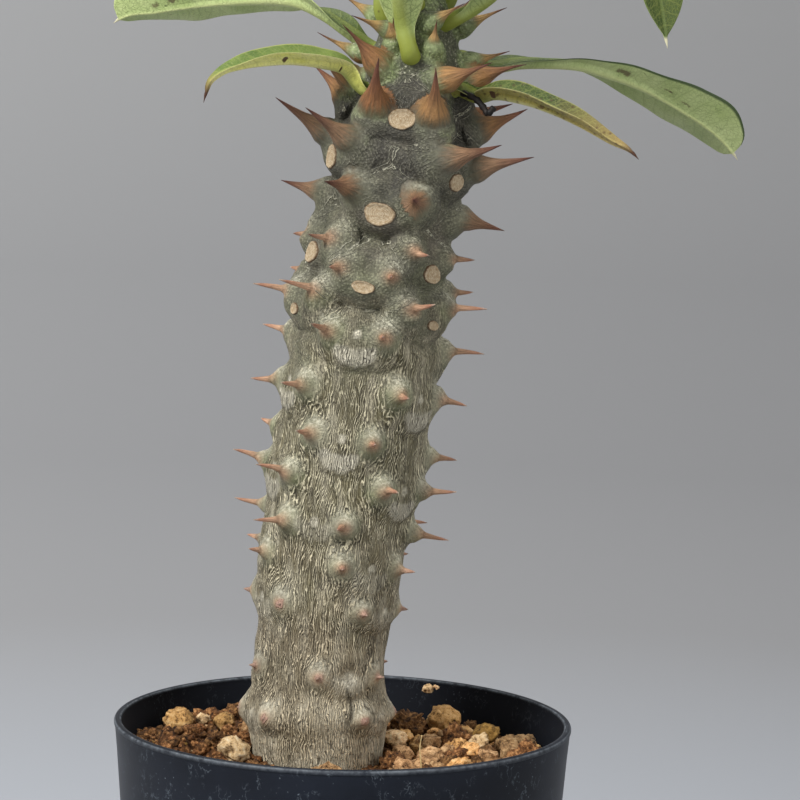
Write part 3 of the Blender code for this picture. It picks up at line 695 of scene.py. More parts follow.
# Trunk
# The swollen stem of the plant. Leaf nodes stand in whorls of three, each turned 60 degrees against the
# next: a node is a low cushion with two thorns, and between them a leaf or its scar.
WHORLS = (
    (255.5, -8, 2.9, 0.5, 5.0, 70, 1.0, 1.2, 0),
    (251.5, 52, 4.6, 0.0, 12.5, 27, 0.7, 2.3, 0),
    (244.0, -8, 4.9, 1.0, 8.5, 58, 0.4, 2.2, 0),
    (237.5, 52, 5.5, 1.0, 15.0, 30, 0.5, 2.9, 1.5),
    (230.0, -8, 6.4, 0.5, 15.5, 50, 0.0, 4.4, 0),
    (218.5, 52, 5.8, 3.2, 17.0, 20, 0.6, 4.5, 0),
    (208.6, -8, 6.5, 4.5, 13.0, 0, 1.0, 4.3, 3.5),
    (197.5, 52, 6.4, 4.0, 7.5, 0, 1.2, 3.6, 0),
    (192.7, -8, 5.2, 3.3, 7.0, 0, 1.2, 3.4, 3.0),
    (185.5, 52, 6.6, 3.8, 10.5, 8, 1.2, 3.8, 0),
    (178.5, -8, 5.8, 3.8, 10.0, 4, 1.1, 3.6, 3.5),
    (165.5, 52, 6.8, 3.6, 8.0, -3, 1.2, 3.6, 0),
    (154.7, -8, 6.4, 4.0, 7.5, 4, 1.2, 3.6, 3.0),
    (145.3, 52, 6.8, 3.3, 9.0, 8, 1.2, 3.6, 0),
    (138.5, -18, 6.5, 1.0, 9.5, -2, 1.2, 3.4, 1.0),
    (128.3, 33, 7.0, 2.0, 5.5, 3, 1.2, 3.2, 0),
    (119.0, -64, 7.0, 1.0, 3.0, 0, 1.0, 3.0, 0),
    (104.0, 27, 7.0, 0.6, 3.0, 2, 1.0, 2.8, 0),
    (94.0, -62, 6.0, 0.6, 1.8, 0, 1.0, 2.8, 0),
)  # height, azimuth, thorn sideways, thorn above scar, length, rise, splay, foot radius, drop of rear nodes
# Thorns that grew off the rule. Whorl, node, side: turned, raised, lengthened, moved up.
STRAYS = {
    (1, 0, -1): (25, 0, 0, -1), (1, 0, 1): (5, 0, 1, -2), (1, 2, 1): (-20, -10, 1, -3),
    (2, 0, -1): (20, 0, 0, 0), (2, 1, -1): (-10, -40, 3, -2), (2, 2, 1): (20, -38, 5, -2),
    (3, 2, 1): (-4, 10, 0, 3), (3, 0, -1): (20, -8, 0, 0), (3, 0, 1): (7, -8, 0, 0),
    (4, 1, -1): (-5, -20, -1, -1), (4, 2, 1): (0, -20, -1, 0), (4, 1, 1): (-15, -26, 0, 0),
    (4, 2, -1): (15, -28, 0, 1), (5, 0, -1): (14, 4, 1, 1), (5, 0, 1): (0, 4, 0, 0),
    (6, 0, 1): (-25, 4, -4, 0), (6, 1, -1): (0, 2, -1, 2), (6, 2, 1): (-8, -3, -1, -1),
    (7, 2, -1): (-7, -6, -2, -1), (7, 2, 1): (-14, 0, 1, 0), (7, 0, -1): (13, 0, 0, 1),
    (7, 0, 1): (0, 7, 0, 0), (8, 0, 1): (-12, 3, 0, 0), (8, 1, -1): (0, 7, 0, 0),
    (8, 2, 1): (-15, -3, -2, 0), (9, 0, -1): (11, 5, 0, 0), (9, 2, -1): (0, -5, 0, -1),
    (9, 2, 1): (-17, 0, 1, 1), (10, 0, -1): (0, 7, 0, 0), (10, 0, 1): (-15, 2, 0, 0),
    (10, 2, 1): (-14, 0, -1, 0), (11, 0, -1): (-5, 5, 0, 1), (11, 2, -1): (0, -5, 0, -1),
    (11, 2, 1): (-8, 4, 0, 0), (12, 0, 1): (-12, 3, 0, 0), (12, 2, 1): (-18, 0, -2, 1),
    (13, 2, 1): (-16, 0, 1, 0), (14, 0, -1): (-10, 0, 0, -1), (14, 0, 1): (-19, 4, 0, 0),
    (16, 0, 1): (19, 0, -1, 0),
}  # fmt: skip
TRUNK_FOOT = 74 * MM
SKIN_STEP = 0.62 * MM
SKIN_SIDES = 176
# A thorn's radius as a share of its foot's, by share of its length: stout, or bulbed under the crown.
STOUT = np.array((
    (0, 1.1), (0.1, 0.94), (0.23, 0.74), (0.36, 0.49), (0.5, 0.3), (0.7, 0.16), (0.88, 0.07), (1, 0.015),
))  # fmt: skip
BULBED = np.array((
    (0, 1.15), (0.12, 1.15), (0.28, 0.98), (0.42, 0.62), (0.55, 0.34), (0.7, 0.17), (0.88, 0.08), (1, 0.02),
))  # fmt: skip
BULBED_WHORLS = range(4)
# From here down a thorn is a spine on a dome. The dome's radius by reach in millimetres, then the spine's.
DOMED_WHORLS = range(7, 19)
DOME = np.array(((0, 1.1), (1.0, 0.95), (2.0, 0.72), (2.8, 0.42), (3.5, 0.23)))
SPINE = np.array(((0, 0.23), (0.3, 0.165), (0.7, 0.1), (1, 0.025)))
DOME_REACH = 3.5 * MM
# Under each thorn of these whorls the skin rises in an upright lobe: height, and halves across and up.
LOBED_WHORLS = range(4, 10)
LOBE_RISE, LOBE_WIDE, LOBE_TALL, LOBE_DROP = 1.1 * MM, 3.0 * MM, 4.6 * MM, 1.8 * MM
FANNED_WHORLS = range(10, 19)  # these carry a fan of torn cork under a dry bud
ABOVE_SCAR = 3  # the column of WHORLS that says how far the thorns stand above the scar
THORN_SIDES, THORN_RINGS = 14, 18
THORN_ROOTS = ((-2.8, 1.35), (-1.0, 1.24))  # below the skin: reach, and radius as a share of the foot's
THORN_BOW = 0.035  # how far a thorn bows, as a share of its length
THORN_SEED = 3
FILLET, FILLET_ROUNDS, FILLET_PULL = 0.9 * MM, 14, 0.55  # how wide, and how it is smoothed
FAN_WIDE, FAN_TALL = 4.4 * MM, 3.3 * MM  # halves of it
CUSHION_HALF = 10.5 * MM
CUSHION_ABOVE, CUSHION_BELOW = 6.6 * MM, 5.0 * MM
# How far the cushions stand out, by whorl from the top.
CUSHION_PROUD = [0.4] * 4 + [0.8, 0.9, 1.2, 1.2, 1.3, 1.2, 1.1, 0.8, 0.7, 0.6, 0.5, 0.5, 0.5, 0.7, 0.4]
CRACKED_NODE = (17, 0)  # a fissure runs down from it, painted dark as shade in it
# Halves of the leaf scars, across and up, by whorl.
SCAR_HALVES = {4: (2.9, 2.4), 5: (2.3, 2.2), 6: (3.0, 2.5), 7: (2.9, 2.1), 8: (2.3, 1.4), 9: (1.7, 1.2)}


def lean_at(height):
    step = 0.5 * MM
    return np.arctan((trunk_at(height + step)[0] - trunk_at(height - step)[0]) / (2 * step))


def on_trunk(height, azimuth, out=0.0):
    """Points this far outside the plain trunk."""
    height, turn = np.asarray(height, float), np.radians(azimuth)
    middle, radius = trunk_at(height)
    across = (radius + out) * np.sin(turn)
    lean = lean_at(height)
    parts = middle + across * np.cos(lean), -(radius + out) * np.cos(turn), height - across * np.sin(lean)
    return np.stack(np.broadcast_arrays(*parts), -1)


def trunk_place(points):
    """Height along the trunk, azimuth and distance from its middle line, of points near it."""
    height = points[:, 2].copy()
    for _ in range(4):
        middle, lean = trunk_at(height)[0], lean_at(height)
        across = (points[:, 0] - middle) * np.cos(lean) - (points[:, 2] - height) * np.sin(lean)
        height = points[:, 2] + across * np.sin(lean)
    return height, np.degrees(np.arctan2(across, -points[:, 1])), np.hypot(across, points[:, 1])


def out_of_trunk(height, azimuth):
    step = 0.5 * MM
    upward = on_trunk(height + step, azimuth) - on_trunk(height - step, azimuth)
    around = on_trunk(height, azimuth + 1) - on_trunk(height, azimuth - 1)
    out = np.cross(around, upward)
    return out / np.linalg.norm(out, axis=-1, keepdims=True)


def node_of(whorl, number):
    height, turn, *_, drop = WHORLS[whorl]
    return (height - (drop if number else 0)) * MM, turn + 120 * number


def thorn_of(whorl, number, side):
    """Foot height, foot azimuth, foot, direction, length and foot radius of a thorn."""
    _, _, sideways, above, length, rise, splay, foot_radius, _ = WHORLS[whorl]
    turned_by, raised, longer, higher = STRAYS.get((whorl, number, side), (0, 0, 0, 0))
    height, azimuth = node_of(whorl, number)
    spread = side * math.degrees(math.asin(sideways * MM / float(trunk_at(height)[1])))
    height += (above + higher) * MM
    lean = float(lean_at(height))
    turn = math.radians(azimuth + spread * splay + turned_by)
    lift = math.radians(rise + raised)
    right, front, up = (math.cos(lean), 0, -math.sin(lean)), (0, -1, 0), (math.sin(lean), 0, math.cos(lean))
    level = math.sin(turn) * np.array(right) + math.cos(turn) * np.array(front)
    way = math.cos(lift) * level + math.sin(lift) * np.array(up)
    azimuth += spread
    return height, azimuth, on_trunk(height, azimuth), way, (length + longer) * MM, foot_radius * MM


NODES = [(whorl, number, *node_of(whorl, number)) for whorl in range(len(WHORLS)) for number in range(3)]
THORNS = [(node[0], *thorn_of(node[0], node[1], side)) for node in NODES for side in (-1, 1)]


def beside(height, azimuth, at_height, at_azimuth):
    """How far places on the skin lie to the right of and above a given one."""
    turn = (azimuth - at_azimuth + 180) % 360 - 180
    return np.radians(turn) * trunk_at(height)[1], height - at_height


def eased(value, low, high):
    share = np.clip((value - low) / (high - low), 0, 1)
    return share * share * (3 - 2 * share)


def cushion_distances(height, azimuth):
    """For each node, how far out on its cushion the places are: 0 at its middle, 1 at its border."""
    rows = []
    for _, _, node_height, node_azimuth in NODES:
        side, above = beside(height, azimuth, node_height + 1.0 * MM, node_azimuth)
        half = np.where(above > 0, CUSHION_ABOVE, CUSHION_BELOW)
        rows.append(np.hypot(side / CUSHION_HALF, above / half))
    return np.array(rows)


def swelling(height, azimuth):
    """How far the skin stands out from the plain trunk: cushions, a dome round each thorn, hollows."""
    out = np.zeros(np.broadcast(height, azimuth).shape)
    for (whorl, _, node_height, node_azimuth), far in zip(NODES, cushion_distances(height, azimuth)):
        proud = CUSHION_PROUD[whorl] * MM
        out += proud * eased(far, 1.15, 0.5)
        valley = eased(far, 1.05, 1.3) * eased(far, 1.75, 1.4)
        out -= (0.6 if 3 < whorl < 10 else 0.15) * proud * valley
        side, above = beside(height, azimuth, node_height, node_azimuth)
        hollow = WHORLS[whorl][ABOVE_SCAR] * MM + 0.4 * MM
        out -= 1.1 * proud * np.exp(-((side / (2.0 * MM)) ** 2) - ((above - hollow) / (1.9 * MM)) ** 2)
        if whorl in FANNED_WHORLS:
            up = above - WHORLS[whorl][ABOVE_SCAR] * MM
            out += 0.35 * MM * np.exp(-((side / (1.1 * MM)) ** 2) - (up / (1.1 * MM)) ** 2)
        if whorl > 3:
            out -= 0.5 * proud * np.exp(-(((far - 1.17) / 0.1) ** 2)) * eased(above, 1 * MM, -3 * MM)
    for whorl, thorn_height, thorn_azimuth, _, _, _, foot_radius in THORNS:
        side, above = beside(height, azimuth, thorn_height, thorn_azimuth)
        spread = (side**2 + above**2) / foot_radius**2
        if whorl in DOMED_WHORLS:
            dome = 0.5 if whorl < 16 else 0.4
            out += dome * foot_radius * np.exp(-((spread / 0.85) ** 1.5))
        else:
            out += 0.3 * foot_radius * np.exp(-((spread / 1.6) ** 1.2))
        if whorl in LOBED_WHORLS:
            lobe = np.hypot(side / LOBE_WIDE, (above + LOBE_DROP) / LOBE_TALL)
            out += LOBE_RISE * np.exp(-(lobe**2.6))
    ripple = np.sin(azimuth / 9 + height / (5 * MM)) * np.sin(height / (3.1 * MM) - azimuth / 23)
    return out + 0.12 * MM * ripple


SCARS = []  # height, azimuth, halves, stand-out
for whorl, _, height, azimuth in NODES:
    if whorl in SCAR_HALVES:
        wide, tall = (half * MM for half in SCAR_HALVES[whorl])
        SCARS.append((height, azimuth, wide, tall, float(swelling(height, azimuth)) + 0.25 * MM))


def relief(height, azimuth):
    """The swelling, flattened where the leaf scars lie."""
    out = swelling(height, azimuth)
    for scar_height, scar_azimuth, wide, tall, level in SCARS:
        side, above = beside(height, azimuth, scar_height, scar_azimuth)
        far = np.hypot(side / (wide + 0.4 * MM), above / (tall + 0.4 * MM))
        out += eased(far, 1.45, 0.95) * (level - out)
    return out


def on_skin(height, azimuth, out=0.0):
    return on_trunk(height, azimuth, relief(height, azimuth) + out)


def mesh_from(name, points, faces):
    mesh = bpy.data.meshes.new(name)
    mesh.from_pydata(points, [], faces)
    return mesh


def ring_faces(rings, sides):
    """Quads between rings of points that close on themselves, then a fan at each end's pole."""
    faces = []
    for ring in range(rings - 1):
        for step in range(sides):
            after = (step + 1) % sides
            low, high = ring * sides, (ring + 1) * sides
            faces.append((low + step, low + after, high + after, high + step))
    first, last = rings * sides, rings * sides + 1
    for step in range(sides):
        after = (step + 1) % sides
        top = (rings - 1) * sides
        faces.append((after, step, first))
        faces.append((top + step, top + after, last))
    return faces


def make_core():
    top = TRUNK[-1, 0]
    heights = np.linspace(TRUNK_FOOT, top - 0.1 * MM, round((top - TRUNK_FOOT) / SKIN_STEP))
    turns = np.arange(SKIN_SIDES) * 360 / SKIN_SIDES
    height, turn = np.meshgrid(heights, turns, indexing="ij")
    points = on_skin(height, turn).reshape(-1, 3)
    foot = on_trunk(TRUNK_FOOT, 0, -trunk_at(TRUNK_FOOT)[1])
    crown = points[-SKIN_SIDES:].mean(0) + (0, 0, 0.6 * MM)
    return mesh_from("trunk", np.vstack([points, foot, crown]), ring_faces(len(heights), SKIN_SIDES))


def thorn_radius(whorl, share, length, foot_radius):
    if whorl in DOMED_WHORLS:
        top = min(DOME_REACH, 0.5 * length)
        reach = np.clip(share, 0, 1) * length
        dome = along_rows(DOME, np.minimum(reach / top, 1) * DOME[-1, 0])[..., 0]
        spine = along_rows(SPINE, np.clip((reach - top) / (length - top), 0, 1))[..., 0]
        return foot_radius * np.where(reach < top, dome, spine)
    profile = BULBED if whorl in BULBED_WHORLS else STOUT
    return foot_radius * along_rows(profile, np.clip(share, 0, 1))[..., 0]


def make_thorn(whorl, foot, way, length, foot_radius, bow):
    """A turned thorn, bowed a little, its foot flared below the skin."""
    shares = np.linspace(0, 1, THORN_RINGS) ** 1.15
    reaches = [*(reach * MM for reach, _ in THORN_ROOTS), *(shares * length)]
    radii = [wide * foot_radius for _, wide in THORN_ROOTS]
    radii += list(thorn_radius(whorl, shares, length, foot_radius))
    radii[-1] = max(radii[-1], 0.06 * MM)
    side = np.cross(way, (0.3, 0.2, 1))
    side /= np.linalg.norm(side)
    other = np.cross(way, side)
    turns = np.arange(THORN_SIDES) * math.tau / THORN_SIDES
    ring = np.cos(turns)[:, None] * side + np.sin(turns)[:, None] * other
    points = []
    for reach, radius in zip(reaches, radii):
        share = max(reach / length, 0)
        points.append(foot + way * reach + bow * 4 * share * (1 - share) + radius * ring)
    ends = foot + way * reaches[0], foot + way * (length + 0.1 * MM)
    return mesh_from("thorn", np.vstack([*points, *ends]), ring_faces(len(reaches), THORN_SIDES))


def outward(mesh):
    bm = bmesh.new()
    bm.from_mesh(mesh)
    bmesh.ops.recalc_face_normals(bm, faces=bm.faces)
    bm.to_mesh(mesh)
    bm.free()
    return mesh


def points_of(mesh):
    points = np.empty(len(mesh.vertices) * 3)
    mesh.vertices.foreach_get("co", points)
    return points.reshape(-1, 3)


def blend_feet(mesh):
    """Draws the crease between each thorn and the skin into a fillet."""
    points = points_of(mesh)
    height, azimuth, far = trunk_place(points)
    off_skin = far - trunk_at(height)[1] - relief(height, azimuth)
    weight = np.zeros(len(points))
    for whorl, _, _, foot, way, length, foot_radius in THORNS:
        reach = (points - foot) @ way
        beside_axis = np.linalg.norm(points - foot - reach[:, None] * way, axis=1)
        near = (reach > -3 * MM) & (reach < 0.6 * length)
        off_thorn = beside_axis - thorn_radius(whorl, reach / length, length, foot_radius)
        close = np.exp(-((off_thorn / FILLET) ** 2) - (off_skin / FILLET) ** 2)
        weight = np.maximum(weight, np.where(near, close, 0))
    ends = np.empty(len(mesh.edges) * 2, int)
    mesh.edges.foreach_get("vertices", ends)
    one, two = ends.reshape(-1, 2).T
    degree = np.bincount(np.r_[one, two], minlength=len(points))
    for _ in range(FILLET_ROUNDS):
        near = np.r_[points[two], points[one]]
        total = np.stack([np.bincount(np.r_[one, two], near[:, i], len(points)) for i in range(3)], 1)
        points += FILLET_PULL * weight[:, None] * (total / degree[:, None] - points)
    mesh.vertices.foreach_set("co", points.ravel())
    mesh.update()


def mark(mesh, name, values):
    """Keeps a value or a vector for each vertex under this name, for the material."""
    values = np.asarray(values, np.float32)
    kind, field = ("FLOAT_VECTOR", "vector") if values.ndim == 2 else ("FLOAT", "value")
    mesh.attributes.new(name, kind, "POINT").data.foreach_set(field, values.ravel())


# By whorl from the crown down; the material turns them into colours.
THORN_HUES = (0.9,) * 3 + (0.6,) * 2 + (0.3,) * 2 + (0,) * 12
# Shares of a thorn's length, and how far along its run of colours it is at each, from the crown down.
CROWN_TURNS = ((0, 0.35, 0.55, 1), (0, 0.12, 0.5, 1))
MIDDLE_TURNS = ((0, 0.1, 0.3, 1), (0, 0.22, 0.45, 1))
LOWER_TURNS = ((0, 0.14, 0.38, 1), (0, 0.12, 0.42, 1))
THORN_TURNS = (CROWN_TURNS,) * 3 + (MIDDLE_TURNS,) * 2 + (LOWER_TURNS,) * 2


def mark_trunk(mesh):
    """What the bark's material needs to know: thorns, domes, cushion borders, and the flow of the bark."""
    points = points_of(mesh)
    height, azimuth, _ = trunk_place(points)
    horn, dome, hue, blush, crest, shade = (np.zeros(len(points)) for _ in range(6))
    grain, turn = points / MM, np.radians(azimuth)
    for index, (whorl, thorn_height, thorn_azimuth, foot, way, length, foot_radius) in enumerate(THORNS):
        reach = (points - foot) @ way
        off_axis = points - foot - reach[:, None] * way
        wide = np.linalg.norm(off_axis, axis=1)
        on = (reach > 0) & (reach < length + 0.6 * MM)
        on &= wide < 1.25 * thorn_radius(whorl, reach / length, length, foot_radius) + 0.5 * MM
        share = np.where(on, np.clip(reach / length, 0, 1), 0)
        if whorl < len(THORN_TURNS):
            share = np.interp(share, *THORN_TURNS[whorl])
        else:
            top = min(DOME_REACH, 0.5 * length) / length
            share = np.interp(share, (0, 0.85 * top, 1.15 * top, 1), (0, 0.08, 0.42, 1))
        more = share > horn
        horn = np.maximum(horn, share)
        hue[more] = THORN_HUES[whorl] + 0.1 * (index * 5 % 7) / 6
        round_it = off_axis / np.maximum(wide, 0.05 * MM)[:, None] * 2.0
        grain[more] = (round_it + (foot + 0.12 * reach[:, None] * way) / MM)[more]
        side, above = beside(height, azimuth, thorn_height, thorn_azimuth)
        spread = (side**2 + above**2) / (foot_radius + 0.6 * MM) ** 2
        dome = np.maximum(dome, np.exp(-(spread**1.6)))
        if whorl in DOMED_WHORLS:
            blush = np.maximum(blush, np.exp(-spread / 0.12))
        # A painted highlight on the upper side of each dome and painted shade under it, as the light comes
        # from the upper left.
        if whorl > 5:
            over = np.exp(-((side / (2.9 * MM)) ** 2) - ((above - 2.7 * MM) / (1.7 * MM)) ** 2)
            under = np.exp(-((side / (3.2 * MM)) ** 2) - ((above + 3.4 * MM) / (1.6 * MM)) ** 2)
            crest = np.maximum(crest, (0.5 if whorl < 9 else 1) * over)
            shade = np.maximum(shade, under)
        turn -= 0.7 * np.exp(-spread / 2.2) * side / trunk_at(height)[1]
    far = cushion_distances(height, azimuth)
    nearest = np.sort(far, axis=0)[:2]
    cork, brink, bud, crack = (np.zeros(len(points)) for _ in range(4))
    for whorl, number, node_height, node_azimuth in NODES:
        side, above = beside(height, azimuth, node_height, node_azimuth)
        if whorl in FANNED_WHORLS:
            fan = np.hypot(side / FAN_WIDE, (above + 0.2 * MM) / FAN_TALL)
            brim = above - 0.5 * MM - 0.05 * side**2 / MM
            fan += 0.07 * np.sin(side / (0.35 * MM)) * np.sin(side / (1.1 * MM) + whorl)
            strength = 1 if whorl < 14 else 0.4
            cork = np.maximum(cork, strength * eased(fan, 1.08, 0.94) * eased(brim, 0.4 * MM, -0.2 * MM))
            under_fan = eased(above, -1.2 * MM, -2.6 * MM)
            brink = np.maximum(brink, strength * np.exp(-(((fan - 1.14) / 0.08) ** 2)) * under_fan)
            off_bud = np.hypot(side, above - WHORLS[whorl][ABOVE_SCAR] * MM)
            bud = np.maximum(bud, eased(off_bud, 1.3 * MM, 0.6 * MM))
        if (whorl, number) == CRACKED_NODE:
            off = side - 0.5 * MM * np.sin(above / (1.3 * MM))
            crack = np.exp(-((off / (0.45 * MM)) ** 2))
            crack = crack * eased(above, -14 * MM, -9 * MM) * eased(above, 1.5 * MM, 0)
            bud = np.maximum(bud, eased(np.hypot(side, above), 2.4 * MM, 1.2 * MM))
    marks = {"horn": horn, "thorn_hue": hue, "dome": dome, "blush": blush, "crest": crest, "shade": shade}
    marks |= {"cork": cork, "brink": brink, "bud": bud, "crack": crack, "grain": grain}
    marks["border"] = (nearest[1] - nearest[0]) * CUSHION_HALF / MM / 2
    marks["ring"] = nearest[0] * 7
    marks["flow"] = np.stack([np.sin(turn), np.cos(turn), height], 1)
    for name, values in marks.items():
        mark(mesh, name, values)


def make_trunk():
    trunk = linked("trunk_and_thorns", outward(make_core()))
    thorns = bpy.data.collections.new("thorns")
    bpy.context.scene.collection.children.link(thorns)
    draw = random.Random(THORN_SEED)
    for whorl, _, _, foot, way, length, foot_radius in THORNS:
        bow = np.cross(way, [draw.uniform(-1, 1) for _ in range(3)]) * THORN_BOW * length
        thorn = outward(make_thorn(whorl, foot, way, length, foot_radius, bow))
        thorns.objects.link(bpy.data.objects.new("thorn", thorn))
    union = trunk.modifiers.new("join", "BOOLEAN")
    union.operation, union.solver = "UNION", "MANIFOLD"
    union.operand_type, union.collection = "COLLECTION", thorns
    made_plain(trunk)
    for thorn in list(thorns.objects):
        bpy.data.objects.remove(thorn)
    bpy.data.collections.remove(thorns)
    blend_feet(trunk.data)
    mark_trunk(trunk.data)
    trunk.data.materials.clear()
    trunk.data.shade_smooth()
    return trunk


BARK_OLIVE, BARK_GREY, BARK_FOOT, BARK_BASE = "#6b6448", "#7a7256", "#7d7159", "#9c8f75"
RIDGE_PALE, RIDGE_WARM = "#e6dcba", "#e8d8b6"
# The crevice colour is painted shade, for the furrows, splits and crack of the bark.
CREVICE_SHADE = "#2e281b"
YOUNG_SKIN, YOUNG_GREEN, YOUNG_DARK, CROWN_GREEN = "#6b6557", "#6c6c55", "#4a473e", "#93a36b"
WRINKLE_PALE = "#c6c2ab"
DOME_GREY, DOME_GREEN, DOME_BLUSH = "#99967f", "#777d5b", "#b58a6c"
# The domes' painted highlight and painted shade, then the pale foot of a dome.
DOME_HIGHLIGHT, DOME_SHADE, DOME_FOOT = "#d3cfba", "#474a34", "#a0957d"
STUB_PINK = "#bd9a88"
THORN_OLIVE, THORN_SAND, THORN_BROWN, THORN_ORANGE = "#61543d", "#cba282", "#86694f", "#7a5030"
THORN_RED, THORN_ROSE = "#74483a", "#be866c"
THORN_TIP, THORN_PALE, THORN_TAN = "#5a3a34", "#dcc6b0", "#b8955f"
CORK_PALE = "#f2ead2"
DUST = "#e4dac0"
LINES_AROUND = 168  # bark lines round the trunk
LINE_WAVERS = ((7, 2, 34), (1.4, 2, 21))  # how they waver: size in millimetres, detail, reach in radians
BARK_MARKS = (
    "horn", "thorn_hue", "dome", "blush", "border", "ring", "cork", "brink", "bud", "crack", "crest", "shade",
)  # fmt: skip
# Heights at which each kind of bark sets in and is full: corky bark, its warmer foot and paler base, the
# darker young skin, the green skin of the crown.
BARK_LEVELS = ((192, 168), (140, 105), (110, 92), (208, 224), (232, 244))
UNEVEN_LEVELS = 12 * MM  # these heights waver by this much up and down
DUSTY_LEVELS = (98 * MM, 86 * MM)
PALE_SPINES, WORN_STUBS = (210 * MM, 196 * MM), (134 * MM, 122 * MM)


def corky_lines(tree, place, flow):
    """Lines along the trunk about 0.6 mm apart, which waver, break off and join; their wave and breaks."""
    parts = add(tree, "SeparateXYZ", [flow])
    turn = add(tree, "Math", [parts, parts.node.outputs["Y"]], "ARCTAN2")
    phase = add(tree, "Math", [turn, LINES_AROUND], "MULTIPLY")
    drawn = add(tree, "VectorMath", [place, (1, 1, 0.42)], "MULTIPLY")
    for size, detail, reach in LINE_WAVERS:
        waver = add(tree, "TexNoise", [drawn, 1000 / size, detail])
        phase = add(tree, "Math", [waver, reach, phase], "MULTIPLY_ADD")
    wave = add(tree, "Math", [phase], "SINE")
    line = add(tree, "MapRange", [wave, 0.3, 0.9], interpolation_type="SMOOTHSTEP")
    drawn = add(tree, "VectorMath", [place, (1, 1, 0.2)], "MULTIPLY")
    breaks = add(tree, "TexNoise", [drawn, 1000 / 0.95, 2])
    strong = add(tree, "MapRange", [breaks, 0.38, 0.54, 0.22])
    line = add(tree, "Math", [line, strong], "MULTIPLY")
    joins = near_value(tree, breaks, 0.53, 0.032, 0.008, 0.95)
    ridges = add(tree, "Math", [line, joins], "MAXIMUM")
    return ridges, wave, breaks


def skin_wrinkles(tree, place, marks):
    """Fine wrinkles round the cushions, and seams where two cushions meet."""
    waver = add(tree, "TexNoise", [place, 1000 / 4, 3])
    waver = add(tree, "MapRange", [waver, 0, 1, -1.1, 1.1])
    ring = add(tree, "Math", [marks["ring"], waver], "ADD")
    ring = add(tree, "Math", [ring, math.tau / 0.52], "MULTIPLY")
    ring = add(tree, "Math", [ring], "SINE")
    ring = add(tree, "MapRange", [ring, 0.3, 1.0, 0, 0.3])
    worn = add(tree, "TexNoise", [place, 1000 / 3.4, 4])
    worn = add(tree, "MapRange", [worn, 0.42, 0.6, 0.12])
    ring = add(tree, "Math", [ring, worn], "MULTIPLY")
    seam = add(tree, "Math", [waver, marks["border"]], "ADD")
    parallel = add(tree, "Math", [seam, 0.45], "PINGPONG")
    parallel = add(tree, "MapRange", [parallel, 0.15, 0.04])
    beside_seam = add(tree, "MapRange", [seam, 1.3, 0.5])
    seam = add(tree, "Math", [parallel, beside_seam], "MULTIPLY")
    seam = add(tree, "Math", [seam, 1.5], "MULTIPLY")
    return add(tree, "Math", [seam, ring], "MAXIMUM")


def thorn_colours(tree, marks, grain, height):
    """Olive where a thorn leaves its dome, then brown, redder along, and a dark or bleached point."""
    strands = add(tree, "TexNoise", [grain, 2.2, 4, 0.6])
    lit = add(tree, "MapRange", [strands, 0.3, 0.7, 0.6, 1.42])
    brown = add(tree, "MapRange", [marks["horn"], 0.12, 0.4])
    low = add(tree, "MapRange", [height, *PALE_SPINES])
    body = THORN_SAND
    for start, tone in ((0, THORN_BROWN), (0.3, THORN_ORANGE), (0.6, THORN_TAN)):
        share = add(tree, "MapRange", [marks["thorn_hue"], start, start + 0.3])
        body = add(tree, "Mix", [share, body, tone])
    tone = add(tree, "Mix", [low, THORN_RED, THORN_ROSE])
    red = add(tree, "MapRange", [marks["horn"], 0.5, 0.9])
    thorn = add(tree, "Mix", [brown, THORN_OLIVE, body])
    thorn = add(tree, "Mix", [red, thorn, tone])
    thorn = add(tree, "HueSaturation", {"Color": thorn, "Value": lit})
    worn_off = add(tree, "MapRange", [height, *WORN_STUBS, 0, 0.85])
    thorn = add(tree, "Mix", [worn_off, thorn, STUB_PINK])
    point = add(tree, "Mix", [low, THORN_TIP, THORN_PALE])
    end = add(tree, "MapRange", [marks["horn"], 0.86, 1.0, 0, 0.85])
    thorn = add(tree, "Mix", [end, thorn, point])
    return thorn, strands


